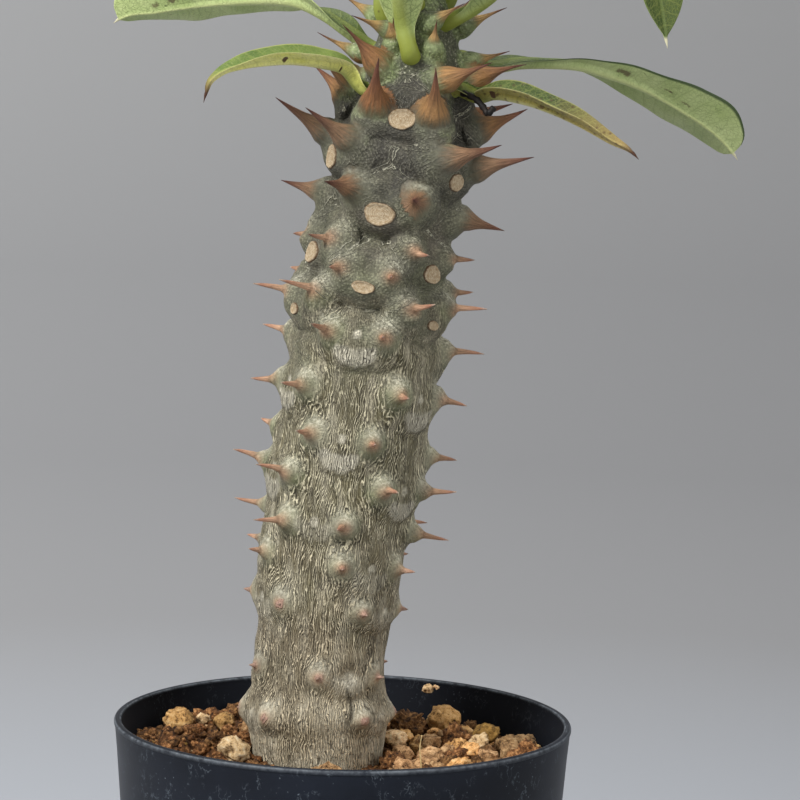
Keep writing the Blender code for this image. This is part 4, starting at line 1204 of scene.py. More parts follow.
def bark_material():
    """Living bark: a thin grey skin when young, which splits below into pale corky ridges."""
    material, tree, shader, place = new_material("grey_green_bark", roughness=0.62, specular=0.35)
    marks = {name: add(tree, "Attribute", out="Fac", attribute_name=name) for name in BARK_MARKS}
    flow, grain = (add(tree, "Attribute", out="Vector", attribute_name=name) for name in ("flow", "grain"))
    height = add(tree, "SeparateXYZ", [place], out="Z")
    slow = add(tree, "TexNoise", [place, 1000 / 9, 3])
    fine = add(tree, "TexNoise", [place, 1000 / 0.7, 5, 0.65])
    # How corky the bark is: not at all under the crown, fully below the middle.
    uneven = add(tree, "MapRange", [slow, 0.3, 0.7, -UNEVEN_LEVELS, UNEVEN_LEVELS])
    level = add(tree, "Math", [height, uneven], "ADD")
    age, foot, base, upper, young_crown = (
        add(tree, "MapRange", [level, start * MM, full * MM]) for start, full in BARK_LEVELS
    )
    ridges, wave, breaks = corky_lines(tree, place, flow)
    furrow = add(tree, "MapRange", [wave, -0.45, -1.0])
    deep = add(tree, "MapRange", [breaks, 0.46, 0.6, 0.4])
    furrow = add(tree, "Math", [furrow, deep], "MULTIPLY")
    smooth = add(tree, "MapRange", [marks["dome"], 0.85, 0.35])
    corky = add(tree, "Math", [age, smooth], "MULTIPLY")
    corky = add(tree, "Math", [corky, marks["cork"]], "MAXIMUM")
    ridges = add(tree, "Math", [ridges, corky], "MULTIPLY")
    crevices = add(tree, "Math", [furrow, corky], "MULTIPLY")
    tall = add(tree, "VectorMath", [place, (1, 1, 0.14)], "MULTIPLY")
    split = add(tree, "TexNoise", [tall, 1000 / 2.0, 3])
    split = near_value(tree, split, 0.5, 0.013, 0.003, 0.8)
    split = add(tree, "Math", [split, corky], "MULTIPLY")
    crevices = add(tree, "Math", [crevices, split], "MAXIMUM")
    streak = add(tree, "VectorMath", [place, (1, 1, 0.22)], "MULTIPLY")
    streak = add(tree, "TexNoise", [streak, 1000 / 3, 3])
    streak = add(tree, "MapRange", [streak, 0.5, 0.68, 0, 0.5])
    streak = add(tree, "Math", [streak, corky], "MULTIPLY")
    dusty = add(tree, "MapRange", [level, *DUSTY_LEVELS, 0, 0.75])
    wrinkles = skin_wrinkles(tree, place, marks)
    young = add(tree, "Math", [1.0, corky], "SUBTRACT")
    not_horn = add(tree, "MapRange", [marks["horn"], 0.16, 0.04])
    below_crown = add(tree, "MapRange", [young_crown, 0, 1, 1.0, 0.25])
    for part in (young, not_horn, below_crown):
        wrinkles = add(tree, "Math", [wrinkles, part], "MULTIPLY")
    # Colours, from the skin up.
    patch = add(tree, "MapRange", [slow, 0.35, 0.65])
    old = add(tree, "Mix", [patch, BARK_OLIVE, BARK_GREY])
    for part, tone in ((foot, BARK_FOOT), (base, BARK_BASE)):
        old = add(tree, "Mix", [part, old, tone])
    fresh = add(tree, "Mix", [patch, YOUNG_SKIN, YOUNG_GREEN])
    fresh = add(tree, "Mix", [upper, fresh, YOUNG_DARK])
    tubercle = add(tree, "MapRange", [marks["dome"], 0.1, 0.6, 0.15])
    tubercle = add(tree, "Math", [tubercle, young_crown], "MULTIPLY")
    fresh = add(tree, "Mix", [tubercle, fresh, CROWN_GREEN])
    fluff = add(tree, "MapRange", [fine, 0.57, 0.66, 0, 0.55])
    fluff = add(tree, "Math", [fluff, young_crown], "MULTIPLY")
    fresh = add(tree, "Mix", [fluff, fresh, WRINKLE_PALE])
    colour = add(tree, "Mix", [age, fresh, old])
    streak = add(tree, "Math", [streak, dusty], "MAXIMUM")
    colour = add(tree, "Mix", [streak, colour, DUST])
    domes = add(tree, "Mix", [patch, DOME_GREEN, DOME_GREY])
    domes = add(tree, "Mix", [foot, domes, DOME_FOOT])
    aged = add(tree, "MapRange", [age, 0, 1, 0.3, 0.85])
    on_dome = add(tree, "MapRange", [marks["dome"], 0.15, 0.7])
    on_dome = add(tree, "Math", [on_dome, aged], "MULTIPLY")
    colour = add(tree, "Mix", [on_dome, colour, domes])
    # Painted shade under the domes and a painted highlight on their tops, broken into patches by the fine
    # noise; the dry buds are pale.
    patchy = add(tree, "MapRange", [fine, 0.4, 0.62, 0.3])
    for part, tone, most in (("shade", DOME_SHADE, 0.6), ("crest", DOME_HIGHLIGHT, 0.75)):
        seen = add(tree, "Math", [marks[part], most], "MULTIPLY")
        seen = add(tree, "Math", [seen, patchy], "MULTIPLY")
        colour = add(tree, "Mix", [seen, colour, tone])
    blush = add(tree, "Math", [marks["blush"], 0.8], "MULTIPLY")
    colour = add(tree, "Mix", [blush, colour, DOME_BLUSH])
    mottle = add(tree, "MapRange", [fine, 0.3, 0.7, 0.68, 1.32])
    colour = add(tree, "HueSaturation", {"Color": colour, "Value": mottle})
    worn = add(tree, "TexNoise", [place, 1000 / 5, 3])
    worn = add(tree, "MapRange", [worn, 0.3, 0.7, 0.64, 1.14])
    colour = add(tree, "HueSaturation", {"Color": colour, "Value": worn})
    ridge = add(tree, "Mix", [foot, RIDGE_PALE, RIDGE_WARM])
    ridge = add(tree, "Mix", [marks["cork"], ridge, CORK_PALE])
    fans = add(tree, "Math", [marks["cork"], 0.45], "MULTIPLY")
    colour = add(tree, "Mix", [fans, colour, CORK_PALE])
    shown = add(tree, "Math", [ridges, 0.85], "MULTIPLY")
    colour = add(tree, "Mix", [shown, colour, ridge])
    # Painted shade in the furrows between the corky lines, in the splits and in the crack; the same dark
    # colour also draws a line under each fan.
    shallow = add(tree, "MapRange", [marks["cork"], 0, 1, 0.84, 0.95])
    crevices = add(tree, "Math", [crevices, shallow], "MULTIPLY")
    brink = add(tree, "Math", [marks["brink"], 0.6], "MULTIPLY")
    for part in (marks["crack"], brink):
        crevices = add(tree, "Math", [crevices, part], "MAXIMUM")
    colour = add(tree, "Mix", [crevices, colour, CREVICE_SHADE])
    pale = add(tree, "Math", [wrinkles, 0.6], "MULTIPLY")
    colour = add(tree, "Mix", [pale, colour, WRINKLE_PALE])
    knob = add(tree, "Math", [marks["bud"], patchy], "MULTIPLY")
    colour = add(tree, "Mix", [knob, colour, CORK_PALE])
    # Young skin is finely pebbled.
    skin = add(tree, "Math", [1.0, age], "SUBTRACT")
    skin = add(tree, "Math", [skin, not_horn], "MULTIPLY")
    cells = add(tree, "TexVoronoi", [place, 1000 / 0.62])
    cells = add(tree, "MapRange", [cells, 0.15, 0.65, 1.34, 0.7])
    pebbled = add(tree, "HueSaturation", {"Color": colour, "Value": cells})
    colour = add(tree, "Mix", [skin, colour, pebbled])
    thorn, strands = thorn_colours(tree, marks, grain, height)
    ragged = add(tree, "MapRange", [strands, 0, 1, -0.14, 0.14])
    edge = add(tree, "Math", [marks["horn"], ragged], "ADD")
    on_thorn = add(tree, "MapRange", [edge, 0.08, 0.5], interpolation_type="SMOOTHSTEP")
    colour = add(tree, "Mix", [on_thorn, colour, thorn])
    raised = add(tree, "Math", [ridges, wrinkles], "MAXIMUM")
    raised = add(tree, "Math", [raised, crevices], "SUBTRACT")
    on_spine = add(tree, "Math", [strands, on_thorn], "MULTIPLY")
    raised = add(tree, "Math", [raised, on_spine], "ADD")
    raised = add(tree, "Math", [fine, 0.5, raised], "MULTIPLY_ADD")
    pebbles = add(tree, "Math", [cells, skin], "MULTIPLY")
    raised = add(tree, "Math", [pebbles, 0.45, raised], "MULTIPLY_ADD")
    coat(tree, shader, colour, raised, strength=1.0, depth=0.5)
    return material


trunk = make_trunk()
trunk.data.materials.append(bark_material())
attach(trunk, "root")
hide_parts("trunk")


# Leaf scars
# Where a leaf has dropped, an oval of pale cork with a raised rim is left. Each is a shallow disc that
# follows the skin and sinks into it.
SCAR_RINGS = (
    (0.0, 0.10), (0.18, 0.16), (0.3, 0.08), (0.5, 0.14), (0.66, 0.16), (0.78, 0.3), (0.86, 0.46),
    (0.93, 0.48), (0.99, 0.34), (1.03, 0.05), (1.04, -0.5), (0.9, -1.0),
)  # share of the way out, stand-out  # fmt: skip
SCAR_STEPS = 48
SCAR_SUNK = 1.4 * MM
SCAR_BROWN_RINGS = 44  # how closely the fine rings lie, in radians over the way out
SCAR_CREAM, SCAR_TAN, SCAR_RIM = "#bcab8f", "#97805f", "#5f4935"


def make_scars():
    points, faces, rims = [], [], []
    turns = np.arange(SCAR_STEPS) * math.tau / SCAR_STEPS
    for height, azimuth, wide, tall, level in SCARS:
        first = len(points)
        uneven = 1 + 0.05 * np.sin(2 * turns + height * 900) + 0.035 * np.sin(3 * turns + azimuth)
        uneven = uneven + 0.02 * np.sin(7 * turns)
        for share, out in SCAR_RINGS[1:]:
            across, above = share * uneven * wide * np.sin(turns), share * uneven * tall * np.cos(turns)
            around = azimuth + np.degrees(across / float(trunk_at(height)[1]))
            points.extend(on_trunk(height + above, around, level + out * MM))
            rims.extend([share] * SCAR_STEPS)
        points.append(on_trunk(height, azimuth, level + SCAR_RINGS[0][1] * MM))
        points.append(on_trunk(height, azimuth, level - SCAR_SUNK))
        rims.extend([0, 0.9])
        faces.extend([first + i for i in face] for face in ring_faces(len(SCAR_RINGS) - 1, SCAR_STEPS))
    mesh = outward(mesh_from("leaf_scars", np.array(points), faces))
    mark(mesh, "rim", rims)
    mesh.shade_smooth()
    return linked("leaf_scars", mesh)


def scar_material():
    """Dry cork: cream in the middle, tan and brown towards a raised rim."""
    material, tree, shader, place = new_material("scar_cork", roughness=0.8, specular=0.3)
    rim = add(tree, "Attribute", out="Fac", attribute_name="rim")
    mottle = add(tree, "TexNoise", [place, 1000 / 0.55, 4, 0.6])
    patch = add(tree, "MapRange", [mottle, 0.38, 0.66])
    colour = add(tree, "Mix", [patch, SCAR_CREAM, SCAR_TAN])
    uneven = add(tree, "MapRange", [mottle, 0, 1, -0.08, 0.08])
    rim = add(tree, "Math", [rim, uneven], "ADD")
    edge = add(tree, "MapRange", [rim, 0.9, 1.02])
    inner = add(tree, "Math", [rim, SCAR_BROWN_RINGS], "MULTIPLY")
    inner = add(tree, "Math", [inner], "SINE")
    inner = add(tree, "MapRange", [inner, 0.2, 1.0, 0, 0.36])
    edge = add(tree, "Math", [edge, inner], "MAXIMUM")
    colour = add(tree, "Mix", [edge, colour, SCAR_RIM])
    coat(tree, shader, colour, mottle, strength=0.6, depth=0.2)
    return material


scars = make_scars()
scars.data.materials.append(scar_material())
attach(scars, "root")


# Leaves
# Narrow leaves with a stout petiole, a raised pale midrib beneath and a short point. The two lowest are
# old and yellow. Each is one closed blade from upper and under sides, its foot set into the trunk.
CROWN_X = 13.3
PETIOLE_RADIUS = 1.7
LEAF_ROWS, LEAF_COLUMNS = 120, 29
BRISTLE_ROWS = 6
LEAF_THICK = 0.36 * MM  # half of it
SHORT_WAVE, LONG_WAVE = (2.3 * MM, 0.2), (3.9 * MM, 0.28)  # of the margin: size, height in millimetres
GROOVE_WIDE, GROOVE_DEEP = 0.5 * MM, 0.12 * MM  # over the midrib
# Half widths by share of the length, for blunt, waisted, pointed and withered leaves.
BLUNT = np.array((
    (0.0, 0), (0.05, 0.1), (0.16, 0.52), (0.35, 0.62), (0.5, 0.66), (0.64, 0.76), (0.84, 1.0), (0.93, 0.9),
    (1.0, 0.45),
))  # fmt: skip
WAISTED = np.array((
    (0.0, 0), (0.05, 0.1), (0.16, 0.48), (0.3, 0.4), (0.45, 0.46), (0.6, 0.66), (0.8, 0.98), (0.92, 1.0),
    (1.0, 0.55),
))  # fmt: skip
POINTED = np.array((
    (0.0, 0), (0.06, 0.03), (0.16, 0.46), (0.36, 0.76), (0.6, 0.97), (0.78, 0.95), (0.92, 0.58), (1.0, 0.02),
))  # fmt: skip
WITHERED = np.array((
    (0.0, 0.25), (0.08, 0.6), (0.2, 0.92), (0.45, 1.0), (0.7, 0.8), (0.86, 0.48), (0.96, 0.2), (1.0, 0.08),
))  # fmt: skip
OUTLINES = {"left_low": WITHERED, "right_low": WITHERED, "left": BLUNT, "right": WAISTED}  # else pointed
MUCRO = 1.5 * MM  # the bristle at a leaf's end
# Node, heading, half width, fold at the foot, middle and tip, roll at the foot and tip and the share where
# it is reached, then the route: reach, height.
LEAVES = {
    "left_low": ((3, 2), -72, 4.7, (46, 43, 40), (-14, -12, 0.6), (
        (17, 241.2), (22.5, 242.3), (29.2, 242.7), (35.7, 242), (40.9, 241), (45.5, 239.4), (48.2, 237.1),
        (49, 235))),
    "right_low": ((3, 0), 62, 4.2, (52, 48, 44), (12, 10, 0.6), (
        (15.4, 235.6), (19, 236.4), (25.8, 235.6), (33.3, 233.4), (40.7, 230.3), (48, 226.7), (53.4, 224.4))),
    "front": ((2, 0), -18, 9.5, (20, 15, 12), (0, 0, 0.6), (
        (11.5, 251), (16.5, 261), (27, 279), (41, 294), (58, 302))),
    "right": ((2, 1), 108, 7.0, (48, 8, 30), (14, -44, 0.6), (
        (17.4, 242.1), (24.7, 243.1), (32.2, 243.2), (39.6, 242.6), (46, 240.9), (54.5, 238), (62.5, 234.1),
        (78.4, 222.9))),
    "left": ((2, 2), -118, 8.0, (42, 10, 30), (-8, 40, 0.42), (
        (17.6, 249.2), (23.5, 252.7), (30.3, 255.3), (35.7, 255.9), (41.1, 255.7), (49.2, 255.1), (58.8, 254),
        (68.6, 252.4), (79, 250.4))),
    "arching": ((1, 0), 62, 9.6, (35, 18, 8), (0, 20, 0.9), (
        (17.5, 257.6), (28, 269), (41.5, 277), (53, 270), (60.2, 249.5))),
    "inner_left": ((1, 2), -62, 8.6, (30, 22, 15), (0, 10, 0.9), (
        (9.5, 262), (15, 278), (25, 295), (40, 306), (54, 308))),
    "inner_back": ((1, 1), 168, 8.8, (30, 22, 15), (0, 0, 0.9), (
        (11, 261), (19, 276), (31, 290), (46, 299), (62, 301))),
    "young_front": ((0, 0), -20, 6.6, (30, 25, 20), (0, 0, 0.9), (
        (6, 268), (10, 283), (17, 298), (27, 309))),
    "young_right": ((0, 1), 106, 6.8, (30, 25, 20), (0, 0, 0.9), (
        (6.5, 268), (12, 284), (21, 299), (33, 310))),
    "young_left": ((0, 2), -134, 6.4, (30, 25, 20), (0, 0, 0.9), (
        (6.2, 268), (11, 284), (19, 300), (29, 312))),
}  # fmt: skip
OLD_LEAVES = ("left_low", "right_low")
LEAF_UPPER, LEAF_UPPER_PALE = "#394c22", "#5c6c32"
LEAF_UNDER, LEAF_UNDER_PALE = "#9aaa68", "#b3bf80"
OLD_UPPER = {"left_low": ("#4c642c", "#7f9046"), "right_low": ("#2d3b1b", "#4b5a29")}
OLD_BROWN = "#a58a58"
# The left old leaf's yellow underside is its own colour, painted brighter still as light shining through it.
OLD_UNDER = {"left_low": ("#dfdf74", "#f0eea4"), "right_low": ("#7f7837", "#aca055")}
SPECKLED = {"left_low": 0.6, "right_low": 0.1}  # where the noise that groups the specks sets in
MIDRIB_PALE, PETIOLE_GREEN = "#c4cc8c", "#8a933c"
MIDRIB_ABOVE, OLD_MIDRIB_ABOVE, OLD_MIDRIB_UNDER = "#8fa05c", "#c2c070", "#dbd79a"
# The undersides of the two spread leaves, the left one painted paler as painted light.
SPREAD_UNDER = {"left": ("#a7b873", "#c2ce8e"), "right": ("#9aaa6a", "#b5c086")}
NET_DARK, NET_PALE = "#435722", "#8e9650"
# Brown blotches under a leaf: how far across and along the blade, then their halves that way.
BLOTCHES = {
    "left": ((2.4, 58.5, 0.8, 1.5), (1.9, 63, 0.6, 1.1)),
    "right": ((-2, 42, 0.8, 2.6), (-2.6, 54, 0.35, 1.6), (-2, 59.5, 0.35, 1.4)),
    "left_low": ((2, 23, 1.15, 0.65), (1.4, 9.5, 0.5, 0.28)),
    "right_low": ((-1.9, 11.8, 0.85, 0.75), (-1.8, 13, 0.3, 0.9), (-1.2, 24, 0.3, 0.8)),
}
WITHERS_FROM = {"left_low": 0.86, "right_low": 0.5}
DRY_TIP, BRISTLE_PALE = "#4a2f20", "#d9d3b0"


def lengths_of(points):
    return np.concatenate([[0], np.cumsum(np.linalg.norm(np.diff(points, axis=0), axis=1))])


def midrib_course(node, heading, rolls, route):
    """Places along a midrib, the ways across and above it, their shares of its length, the blade's end."""
    height, azimuth = node_of(*node)
    out = out_of_trunk(height, azimuth)
    seat = on_skin(height, azimuth)
    turn = math.radians(heading)
    sine, cosine = math.sin(turn), math.cos(turn)
    route = [np.array((CROWN_X + reach * sine, -reach * cosine, z)) * MM for reach, z in route]
    onward = (route[-1] - route[-2]) / np.linalg.norm(route[-1] - route[-2])
    bristle = route[-1] + MUCRO * (onward + (0, 0, -0.5))
    stops = np.array([seat - 1.5 * MM * out, seat + 0.7 * MM * out, *route, bristle])
    table = np.column_stack([lengths_of(stops) / lengths_of(stops)[-1], stops])
    end = table[-2, 0]  # the blade ends here
    steps = np.linspace(0, 1, LEAF_ROWS - BRISTLE_ROWS)
    rest = np.linspace(end, 1, BRISTLE_ROWS + 1)[1:]
    t = np.concatenate([end * (steps + 0.06 * np.sin(math.pi * steps)), rest])
    here = along_rows(table, t)
    ahead = along_rows(table, np.clip(t + 0.004, 0, 1)) - along_rows(table, np.clip(t - 0.004, 0, 1))
    ahead /= np.linalg.norm(ahead, axis=1, keepdims=True)
    side = np.array((math.cos(turn), math.sin(turn), 0)) * np.ones((len(t), 1))
    side -= (side * ahead).sum(1, keepdims=True) * ahead
    side /= np.linalg.norm(side, axis=1, keepdims=True)
    above = np.cross(ahead, side)
    roll = np.radians(rolls[0] + (rolls[1] - rolls[0]) * eased(t, 0.15, rolls[2])[:, None])
    across, upward = np.cos(roll) * side + np.sin(roll) * above, np.cos(roll) * above - np.sin(roll) * side
    return here, across, upward, t, end


def blade_faces():
    """Quads of the upper side, the under side and the edge between them, and how many are upper ones."""
    count = LEAF_ROWS * LEAF_COLUMNS
    faces = []
    for row in range(LEAF_ROWS - 1):
        for column in range(LEAF_COLUMNS - 1):
            a = row * LEAF_COLUMNS + column
            faces.append((a, a + 1, a + LEAF_COLUMNS + 1, a + LEAF_COLUMNS))
    tops = len(faces)
    faces += [tuple(count + i for i in reversed(face)) for face in faces]
    edge = list(range(LEAF_COLUMNS)) + [row * LEAF_COLUMNS - 1 for row in range(2, LEAF_ROWS + 1)]
    edge += list(range(count - 2, count - LEAF_COLUMNS - 1, -1))
    edge += [row * LEAF_COLUMNS for row in range(LEAF_ROWS - 2, 0, -1)]
    for one, two in zip(edge, edge[1:] + edge[:1]):
        faces.append((two, one, count + one, count + two))
    return faces, tops


def make_leaf(name, node, heading, widest, folds, rolls, route):
    here, across, upward, t, end = midrib_course(node, heading, rolls, route)
    folds = along_rows(np.column_stack([(0, 0.55, 0.95), folds]), np.minimum(t, 0.95))
    fold = np.radians(folds) * np.minimum(1, t / 0.12)[:, None]
    share = t / end
    blade = along_rows(OUTLINES.get(name, POINTED), np.minimum(share, 1))[:, 0].clip(0)
    blade *= np.sqrt(np.clip(1 - (np.clip(share - 0.965, 0, 1) / 0.035) ** 3, 0, 1))
    stalk = PETIOLE_RADIUS * (1.35 - 0.2 * eased(t, 0, 0.08)) * (1 - 0.8 * eased(share, 0.1, 1))
    stalk *= 1 - 0.85 * eased(share, 1, 1 / end)
    beyond = share
    half = np.hypot(stalk, widest * blade)[:, None] * MM
    stalk = stalk[:, None] * MM
    share = np.linspace(-1, 1, LEAF_COLUMNS)[None]
    share = np.sign(share) * np.abs(share) ** 1.15
    reach = half * share
    draw = random.Random(name)
    phase = [draw.uniform(0, math.tau) for _ in range(4)]
    length = lengths_of(here)[:, None]
    wave = SHORT_WAVE[1] * np.sin(length / SHORT_WAVE[0] + phase[0] + np.sign(share))
    wave = wave + LONG_WAVE[1] * np.sin(length / LONG_WAVE[0] + phase[1])
    blade_share = np.clip(1 - stalk / half, 0, 1)
    wave = wave * MM * share**2 * blade_share * eased(t, 0.12, 0.35)[:, None]
    rounded = np.sqrt(reach**2 + (0.5 * stalk) ** 2) - 0.5 * stalk
    lift = np.sin(fold) * rounded * blade_share + 0.06 * reach**2 / (widest * MM) + wave
    width = reach * (1 - blade_share * (1 - np.cos(fold)))
    thick = LEAF_THICK * (1 - 0.55 * np.abs(share) ** 3)
    stem = np.sqrt(np.clip(1 - (reach / stalk) ** 2, 0, 1)) * stalk
    groove = GROOVE_DEEP * np.exp(-((reach / GROOVE_WIDE) ** 2)) * blade_share
    top = lift + thick * blade_share + stem * (1 - blade_share) * 0.8 - groove
    under = lift - thick * blade_share - stem * (0.95 - 0.2 * blade_share)
    rim = np.abs(share) >= 1
    middle = lift + 0 * share
    top, under = np.where(rim, middle + 0.02 * MM, top), np.where(rim, middle - 0.02 * MM, under)
    grids = []
    for level in (top, under):
        spread = here[:, None] + across[:, None] * width[..., None]
        grids.append(spread + upward[:, None] * level[..., None])
    points = np.vstack([grid.reshape(-1, 3) for grid in grids])
    faces, tops = blade_faces()
    mesh = mesh_from("leaf_" + name, points, faces)
    mesh.polygons.foreach_set("material_index", [0 if i < tops else 1 for i in range(len(faces))])
    known = {"blade": (reach / MM, length / MM, 0 * share), "shares": (beyond[:, None], share, blade_share)}
    for label, columns in known.items():
        values = np.stack(np.broadcast_arrays(*columns), -1).reshape(-1, 3)
        mark(mesh, label, np.vstack([values, values]))
    mesh.shade_smooth()
    return linked("leaf_" + name, mesh)


def leaf_material(name, body, pale, rib, under, withers=None, speckled=0.58, blotches=(), curled=False):
    """A waxy leaf: midrib, side veins 3 mm apart and a fine net; brown specks, and a bristle at its end."""
    old = withers is not None
    material, tree, shader, place = new_material(name, 0.55 if under or old else 0.5, 0.4 if under else 0.25)
    flat = add(tree, "Attribute", out="Vector", attribute_name="blade")
    shares = add(tree, "Attribute", out="Vector", attribute_name="shares")
    across, along = (add(tree, "SeparateXYZ", [flat], out=axis) for axis in "XY")
    share, over, bladed = (add(tree, "SeparateXYZ", [shares], out=axis) for axis in "XYZ")
    margin = add(tree, "Math", [over], "ABSOLUTE")
    away = add(tree, "Math", [across], "ABSOLUTE")
    waver = add(tree, "TexNoise", [place, 1000 / 4, 3])
    sway = add(tree, "MapRange", [waver, 0, 1, -1.3, 1.3])
    # Side veins leave the midrib steeply and bow towards the tip.
    bow = add(tree, "Math", [away, 1.3], "POWER")
    bow = add(tree, "Math", [bow, -0.34, along], "MULTIPLY_ADD")
    bow = add(tree, "Math", [bow, sway], "ADD")
    vein = add(tree, "Math", [bow, 1.45], "PINGPONG")
    vein = add(tree, "MapRange", [vein, 0.3, 0.06])
    stretched = add(tree, "VectorMath", [flat, (1, 0.8, 1)], "MULTIPLY")
    swayed = add(tree, "TexNoise", [place, 1000 / 1.5], out="Color")
    stretched = add(tree, "VectorMath", [stretched, swayed], "ADD")
    net = add(tree, "TexVoronoi", [stretched, 1 / 0.8], feature="DISTANCE_TO_EDGE")
    net = add(tree, "MapRange", [net, 0.1, 0.02])
    slim = add(tree, "MapRange", [share, 0.08, 0.7, 1.9, 0.5])
    midrib = add(tree, "Math", [away, slim], "DIVIDE")
    midrib = add(tree, "MapRange", [midrib, 1.2, 0.6])
    patch = add(tree, "TexNoise", [place, 1000 / 9, 4])
    patch = add(tree, "MapRange", [patch, 0.35, 0.7])
    colour = add(tree, "Mix", [patch, body, pale])
    edge = add(tree, "MapRange", [margin, 0.9, 0.99, 0, 0.6])
    lines = add(tree, "Math", [vein, net], "MAXIMUM")
    lines = add(tree, "Math", [lines, bladed], "MULTIPLY")
    at_foot, onwards = 0.95 if under and not old else 0.5, 0.24 if under and speckled > 0.5 else 0.5
    seen = add(tree, "MapRange", [share, 0.1, 0.4, at_foot, onwards])
    seen = add(tree, "Math", [lines, seen], "MULTIPLY")
    colour = add(tree, "Mix", [seen, colour, NET_DARK if under else NET_PALE])
    colour = add(tree, "Mix", [edge, colour, rib])
    if curled:
        edge = add(tree, "MapRange", [over, -0.88, -0.94])
        colour = add(tree, "Mix", [edge, colour, LEAF_UPPER])
    rib_seen = add(tree, "Math", [midrib, 0.8 if under else 0.4], "MULTIPLY")
    near_foot = add(tree, "MapRange", [share, 0.4, 0.15])
    rib = add(tree, "Mix", [near_foot, rib, PETIOLE_GREEN])
    colour = add(tree, "Mix", [rib_seen, colour, rib])
    stalk = add(tree, "MapRange", [bladed, 0.15, 0.02])
    on_blade = add(tree, "MapRange", [share, 0.9, 0.6])
    stalk = add(tree, "Math", [stalk, on_blade], "MULTIPLY")
    colour = add(tree, "Mix", [stalk, colour, PETIOLE_GREEN])
    # Specks of 0.3 to 0.8 mm in loose groups, denser on an old leaf, whose end turns brown.
    speck = add(tree, "TexVoronoi", [place, 1000 / (1.5 if old else 2.6)])
    speck = add(tree, "MapRange", [speck, 0.32 if old else 0.17, 0.08])
    group = add(tree, "TexNoise", [place, 1000 / 8, 3])
    group = add(tree, "MapRange", [group, speckled, speckled + 0.12, 0, 0.7 if old else 0.8])
    speck = add(tree, "Math", [speck, group], "MULTIPLY")
    if old:
        wither = add(tree, "Math", [sway, 0.05, share], "MULTIPLY_ADD")
        wither = add(tree, "MapRange", [wither, withers, 1.0, 0, 0.8])
        colour = add(tree, "Mix", [wither, colour, OLD_BROWN])
        tip = add(tree, "MapRange", [share, 0.93, 1.0])
        speck = add(tree, "Math", [speck, tip], "MAXIMUM")
    else:
        tip = add(tree, "MapRange", [share, 0.995, 1.005])
        colour = add(tree, "Mix", [tip, colour, BRISTLE_PALE])
    ragged = add(tree, "TexNoise", [place, 1000 / 0.9, 3])
    for side, far, wide, tall in blotches:
        off = add(tree, "VectorMath", [flat, (side, far, 0)], "SUBTRACT")
        off = add(tree, "VectorMath", [off, (1 / wide, 1 / tall, 0)], "MULTIPLY")
        off = add(tree, "VectorMath", [off], "LENGTH")
        spot = wide > tall  # a spot with a clean edge
        off = add(tree, "Math", [ragged, 0.5 if spot else 2.6, off], "MULTIPLY_ADD")
        ends = (1.3, 1.05, 0, 0.95) if spot else (2.4, 1.7, 0, 0.75)
        blotch = add(tree, "MapRange", [off, *ends])
        speck = add(tree, "Math", [speck, blotch], "MAXIMUM")
    colour = add(tree, "Mix", [speck, colour, DRY_TIP])
    grain = add(tree, "TexNoise", [place, 1000 / 0.5, 3])
    raised = add(tree, "Math", [lines, 0.8 if under else -0.8, grain], "MULTIPLY_ADD")
    coat(tree, shader, colour, raised, strength=0.55, depth=0.14)
    return material


upper_finish = leaf_material("leaf_upper", LEAF_UPPER, LEAF_UPPER_PALE, MIDRIB_ABOVE, under=False)
under_finish = leaf_material("leaf_under", LEAF_UNDER, LEAF_UNDER_PALE, MIDRIB_PALE, under=True)
for name, rule in LEAVES.items():
    leaf = make_leaf(name, *rule)
    finishes = [upper_finish, under_finish]
    upper_name, under_name = name + "_upper", name + "_under"
    spots = BLOTCHES.get(name)
    if name in OLD_LEAVES:
        aged = WITHERS_FROM[name], SPECKLED[name]
        finishes[0] = leaf_material(upper_name, *OLD_UPPER[name], OLD_MIDRIB_ABOVE, False, *aged)
        finishes[1] = leaf_material(under_name, *OLD_UNDER[name], OLD_MIDRIB_UNDER, True, *aged, spots)
    elif spots:
        rest = {"blotches": spots, "curled": name == "right"}
        finishes[1] = leaf_material(under_name, *SPREAD_UNDER[name], MIDRIB_PALE, True, **rest)
    for finish in finishes:
        leaf.data.materials.append(finish)
    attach(leaf, "root")
    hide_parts("leaf_" + name)


# Wool and dried remains
# White woolly hairs at the feet of the young thorns and above the freshest scar, each a fine thread that
# lies on the skin. A black leaf stub, a straw in the soil and crumbs of dried soil on the wall.
HAIRY_WHORLS = range(1, 6)
HAIRS_BY_NODE = 26
HAIR_RADIUS = 0.028
HAIR_LENGTH = (1.0, 3.2)
HAIR_POINTS, HAIR_SIDES = 6, 4
HAIR_SEED = 11
ABOVE_A_SCAR, ABOVE_A_LEAF = 2.2, 0.5  # how far up a node its hairs start
STUB = (
    (23.2, -9, 236.2), (25.0, -10, 235.6), (26.6, -10.5, 234.7), (28.0, -11, 233.2), (28.9, -11.5, 231.9),
    (29.6, -11.8, 232.2), (30.4, -12, 233.3),
)  # fmt: skip
STUB_RADIUS, STUB_SIDES = 0.72, 12
STRAW = ((18.0, -17, 83.5), (17.8, -16, 85.8), (17.5, -15, 88.8), (17.9, -14, 91.6))
STRAW_RADIUS, STRAW_SIDES, STRAW_POINTS = 0.17, 8, 14
CRUMB_SEED = 5
CRUMBS = (
    (21.1, 46.6, 89.8, 1.7), (22.9, 45.8, 90.2, 1.0), (19.5, 47.3, 88.7, 0.8), (20.9, 46.75, 87.3, 0.5),
)  # fmt: skip
WOOL_WHITE, WOOL_SHADE = "#c4c1b3", "#9b9786"
STUB_BROWN, STUB_BLACK = "#241d18", "#0c0a09"
STRAW_PALE, STRAW_SHADE = "#d5bd8c", "#b39a68"


